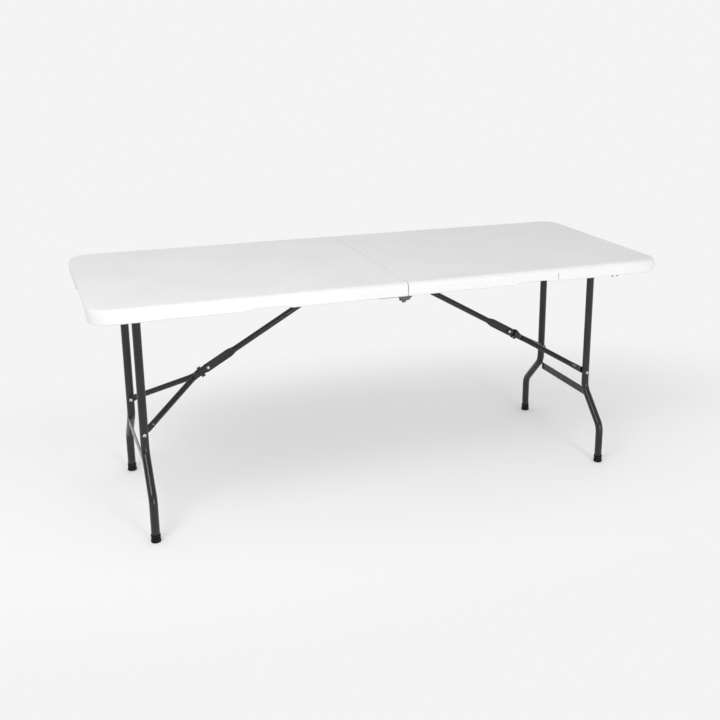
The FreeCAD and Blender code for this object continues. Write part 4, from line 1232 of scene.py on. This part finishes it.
    @staticmethod
    def walk_to(path: Sequence[tuple[Vector, Vector, float]], distance: float) -> tuple[Vector, Vector]:
        """The place and heading at a distance along a path."""
        for (place, heading, walked), (after, _, beyond) in zip(path, path[1:]):
            if distance <= beyond:
                return place.lerp(after, (distance - walked) / max(beyond - walked, MERGE)), heading
        return path[-1][0], path[-1][1]

    def arm_rivets(self, shop: Workshop, body: str) -> None:
        """Set the heads inside the arms at the legs, and the small ones up the arms."""
        shaper = Shaper()
        thin = self.arm_flat[0]
        for _, face in FACES:
            foot = self.at(self.arm_length, face * (self.arm_far_y - thin), 0)
            shaper.turned(RivetHead(0.0055, 0.0022).profile(), foot, ACROSS * -face)
        shop.piece(f"{self.name}_arm_rivet_heads", shaper, body, Slot.ZINC, f"{self.name}_arm_rivets")
        small = Shaper()
        back, stand = 0.022, 0.0040
        foot_bend = self.arm_length - self.arm_foot
        run = Vector((foot_bend - self.arm_straight, self.arm_far_y - self.arm_near_y)).normalized()
        for _, face in FACES:
            out = (self.way(-run.y, 0, 0) + ACROSS * face * run.x).normalized()
            centre = self.at(foot_bend - back * run.x, face * (self.arm_far_y - back * run.y), 0)
            small.turned(RivetHead(0.0028, 0.0012, 0.003).profile(), centre + out * stand, out, steps=16)
        shop.piece(f"{self.name}_arm_pips", small, body, Slot.ZINC)

    def ring(self, shop: Workshop, body: str) -> None:
        """Bend the lock ring from strip, with a lapped seam on top."""
        across, up = (inside + self.ring_wall / 2 for inside in self.ring_inside)
        along, square = self.way(1, 0, 0), self.way(0, 0, 1)
        radius = self.ring_round
        rows = []
        quarters = ((across - radius, up - radius, 0), (radius - across, up - radius, 90),
                    (radius - across, radius - up, 180), (across - radius, radius - up, 270))
        for y, rise, start in quarters:
            for i in range(7):
                angle = math.radians(start + 15 * i)
                centre = self.at(self.ring_centre, y + radius * math.cos(angle),
                                 rise + radius * math.sin(angle))
                out = (ACROSS * math.cos(angle) + square * math.sin(angle)).normalized()
                rows.append(Station(centre, out, along, self.ring_wall / 2, self.ring_length / 2, 6.0))
        shaper = Shaper()
        shaper.swept(rows, closed=True, segments=16)
        lap_half = self.ring_length / 2 - 0.0015
        lap = [Station(self.at(self.ring_centre, y, up + 0.0011), square, along, 0.0007, lap_half, 5.0)
               for y in (-0.006, -0.0055, 0.0055, 0.006)]
        shaper.swept(lap, segments=16)
        shaper.turned(RivetHead(0.0024, 0.001).profile(), self.at(self.ring_centre, 0, up + 0.0016),
                      square, steps=14)
        shop.piece(f"{self.name}_strip_ring", shaper, body, Slot.COATED, f"{self.name}_lock_ring", crease=50)


# ---------------------------------------------------------------- studio


@dataclass
class Studio:
    """A pale floor, soft light and the camera."""

    camera_place: tuple[float, float, float] = (-1.0698, -3.0394, 1.4631)
    yaw: float = math.radians(23.778)
    pitch: float = math.radians(15.814)
    roll: float = math.radians(0.688)
    lens: float = 50.276
    shift: tuple[float, float] = (-0.1133, -0.0657)
    floor_radius: float = 60.0
    fade: tuple[float, float] = (0.35, 1.2)
    fade_centre: tuple[float, float] = (0.0, 0.2)
    fade_stretch: float = 2.0
    matt: float = 0.98
    room: float = 0.905
    overhead: float = 0.8
    behind: float = 0.7
    overhead_rise: tuple[float, float] = (0.12, 0.6)
    behind_turn: tuple[float, float] = (-0.35, 0.55)
    open_side: tuple[float, float, float] = (0.3, 0.95, 0)

    def build(self) -> None:
        """Put up the floor, the lights and the camera."""
        self.floor()
        self.lights()
        self.camera()

    def floor(self) -> None:
        """Lay the floor: matt white near the table, and as bright as the room far from it."""
        mesh = bmesh.new()
        bmesh.ops.create_circle(mesh, cap_ends=True, segments=96, radius=self.floor_radius)
        data = bpy.data.meshes.new("floor")
        mesh.to_mesh(data)
        mesh.free()
        floor = bpy.data.objects.new("floor", data)
        bpy.context.scene.collection.objects.link(floor)
        sheet = NodeSheet("floor_pale")
        near, far = self.fade
        flatten = sheet.add("Mapping", vector_type="TEXTURE")
        flatten.inputs["Location"].default_value = (*self.fade_centre, 0)
        flatten.inputs["Scale"].default_value = (self.fade_stretch, 1, 1)
        sheet.join(sheet.place, flatten.inputs["Vector"])
        distance = sheet.add("VectorMath", operation="LENGTH")
        sheet.join(flatten.outputs["Vector"], distance.inputs[0])
        fade = sheet.add("MapRange", interpolation_type="SMOOTHSTEP", From_Min=near, From_Max=far)
        sheet.join(distance.outputs["Value"], fade.inputs["Value"])
        matt = sheet.add("BsdfDiffuse", Color=(self.matt,) * 3 + (1,))
        glow = sheet.add("Emission", Color=(1, 1, 1, 1), Strength=self.room)
        both = sheet.add("MixShader")
        sheet.join(fade.outputs["Result"], both.inputs["Fac"])
        sheet.join(matt.outputs["BSDF"], both.inputs[1])
        sheet.join(glow.outputs["Emission"], both.inputs[2])
        sheet.join(both.outputs["Shader"], sheet.nodes["Material Output"].inputs["Surface"])
        sheet.nodes.remove(sheet.shader)
        data.materials.append(sheet.material)

    def lights(self) -> None:
        """Fill the room with pale light that is dimmer overhead, and add the lamps."""
        world = bpy.data.worlds.new("room")
        world.use_nodes = True
        tree = world.node_tree

        def ease(source: bpy.types.NodeSocket, span: Sequence[float],
                 levels: Sequence[float]) -> bpy.types.NodeSocket:
            """Ease from one level to the other as a value crosses a span."""
            node = tree.nodes.new("ShaderNodeMapRange")
            node.interpolation_type = "SMOOTHSTEP"
            for name, value in zip(("From Min", "From Max", "To Min", "To Max"), (*span, *levels)):
                node.inputs[name].default_value = value
            tree.links.new(source, node.inputs["Value"])
            return node.outputs["Result"]

        view = tree.nodes.new("ShaderNodeTexCoord").outputs["Generated"]
        axes = tree.nodes.new("ShaderNodeSeparateXYZ")
        tree.links.new(view, axes.inputs["Vector"])
        turn = tree.nodes.new("ShaderNodeVectorMath")
        turn.operation = "DOT_PRODUCT"
        turn.inputs[1].default_value = self.open_side
        tree.links.new(view, turn.inputs[0])
        both = tree.nodes.new("ShaderNodeMath")
        both.operation = "MULTIPLY"
        level = ease(axes.outputs["Z"], self.overhead_rise, (self.room, self.overhead))
        tree.links.new(level, both.inputs[0])
        dim = ease(turn.outputs["Value"], self.behind_turn, (self.behind, 1.0))
        tree.links.new(dim, both.inputs[1])
        backdrop = tree.nodes["Background"]
        backdrop.inputs["Color"].default_value = (1, 1, 1, 1)
        tree.links.new(both.outputs["Value"], backdrop.inputs["Strength"])
        bpy.context.scene.world = world
        self.area("front_lamp", place=(0.9, -5.4, 1.5), target=(0, 0, 0.7), size=1.4, power=96)
        self.area("top_lamp", place=(-1.8, -1.7, 2.8), target=(-0.7, -0.5, 0.74), size=1.4, power=36)

    def area(self, name: str, place: Sequence[float], target: Sequence[float], size: float,
             power: float) -> None:
        """Add a square soft light.

        Args:
            name: the light's name.
            place: where it hangs.
            target: what it faces.
            size: its side.
            power: in watts.
        """
        data = bpy.data.lights.new(name, "AREA")
        data.size = size
        data.energy = power
        lamp = bpy.data.objects.new(name, data)
        lamp.location = place
        lamp.rotation_euler = (Vector(target) - Vector(place)).to_track_quat("-Z", "Y").to_euler()
        bpy.context.scene.collection.objects.link(lamp)

    def camera(self) -> None:
        """Set the camera up and make it the scene's."""
        data = bpy.data.cameras.new("camera")
        data.lens = self.lens
        data.sensor_width = 36
        data.shift_x, data.shift_y = self.shift
        eye = bpy.data.objects.new("camera", data)
        level = math.cos(self.pitch)
        look = Vector((math.sin(self.yaw) * level, math.cos(self.yaw) * level, -math.sin(self.pitch)))
        right = Vector((math.cos(self.yaw), -math.sin(self.yaw), 0))
        up = right.cross(look)
        tilt = Matrix.Rotation(-self.roll, 3, look)
        right, up = tilt @ right, tilt @ up
        turned = Matrix((right, up, -look)).transposed().to_4x4()
        eye.matrix_world = Matrix.Translation(self.camera_place) @ turned
        bpy.context.scene.collection.objects.link(eye)
        bpy.context.scene.camera = eye


def main() -> None:
    """Build the table's pieces in order."""
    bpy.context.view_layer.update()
    finishes = Finishes()
    finishes.dress_nodes()
    shop = Workshop(finishes)
    for name, side in SIDES:
        TopHalf(name, side).build(shop)
        Undercarriage(name, side).build(shop)
        LegFrame(name, side).build(shop)
        Brace(name, side).build(shop)
    HalfHinge().build(shop)
    Studio().build()
    bpy.context.scene.view_settings.view_transform = "Standard"


if __name__ == "__main__":
    main()
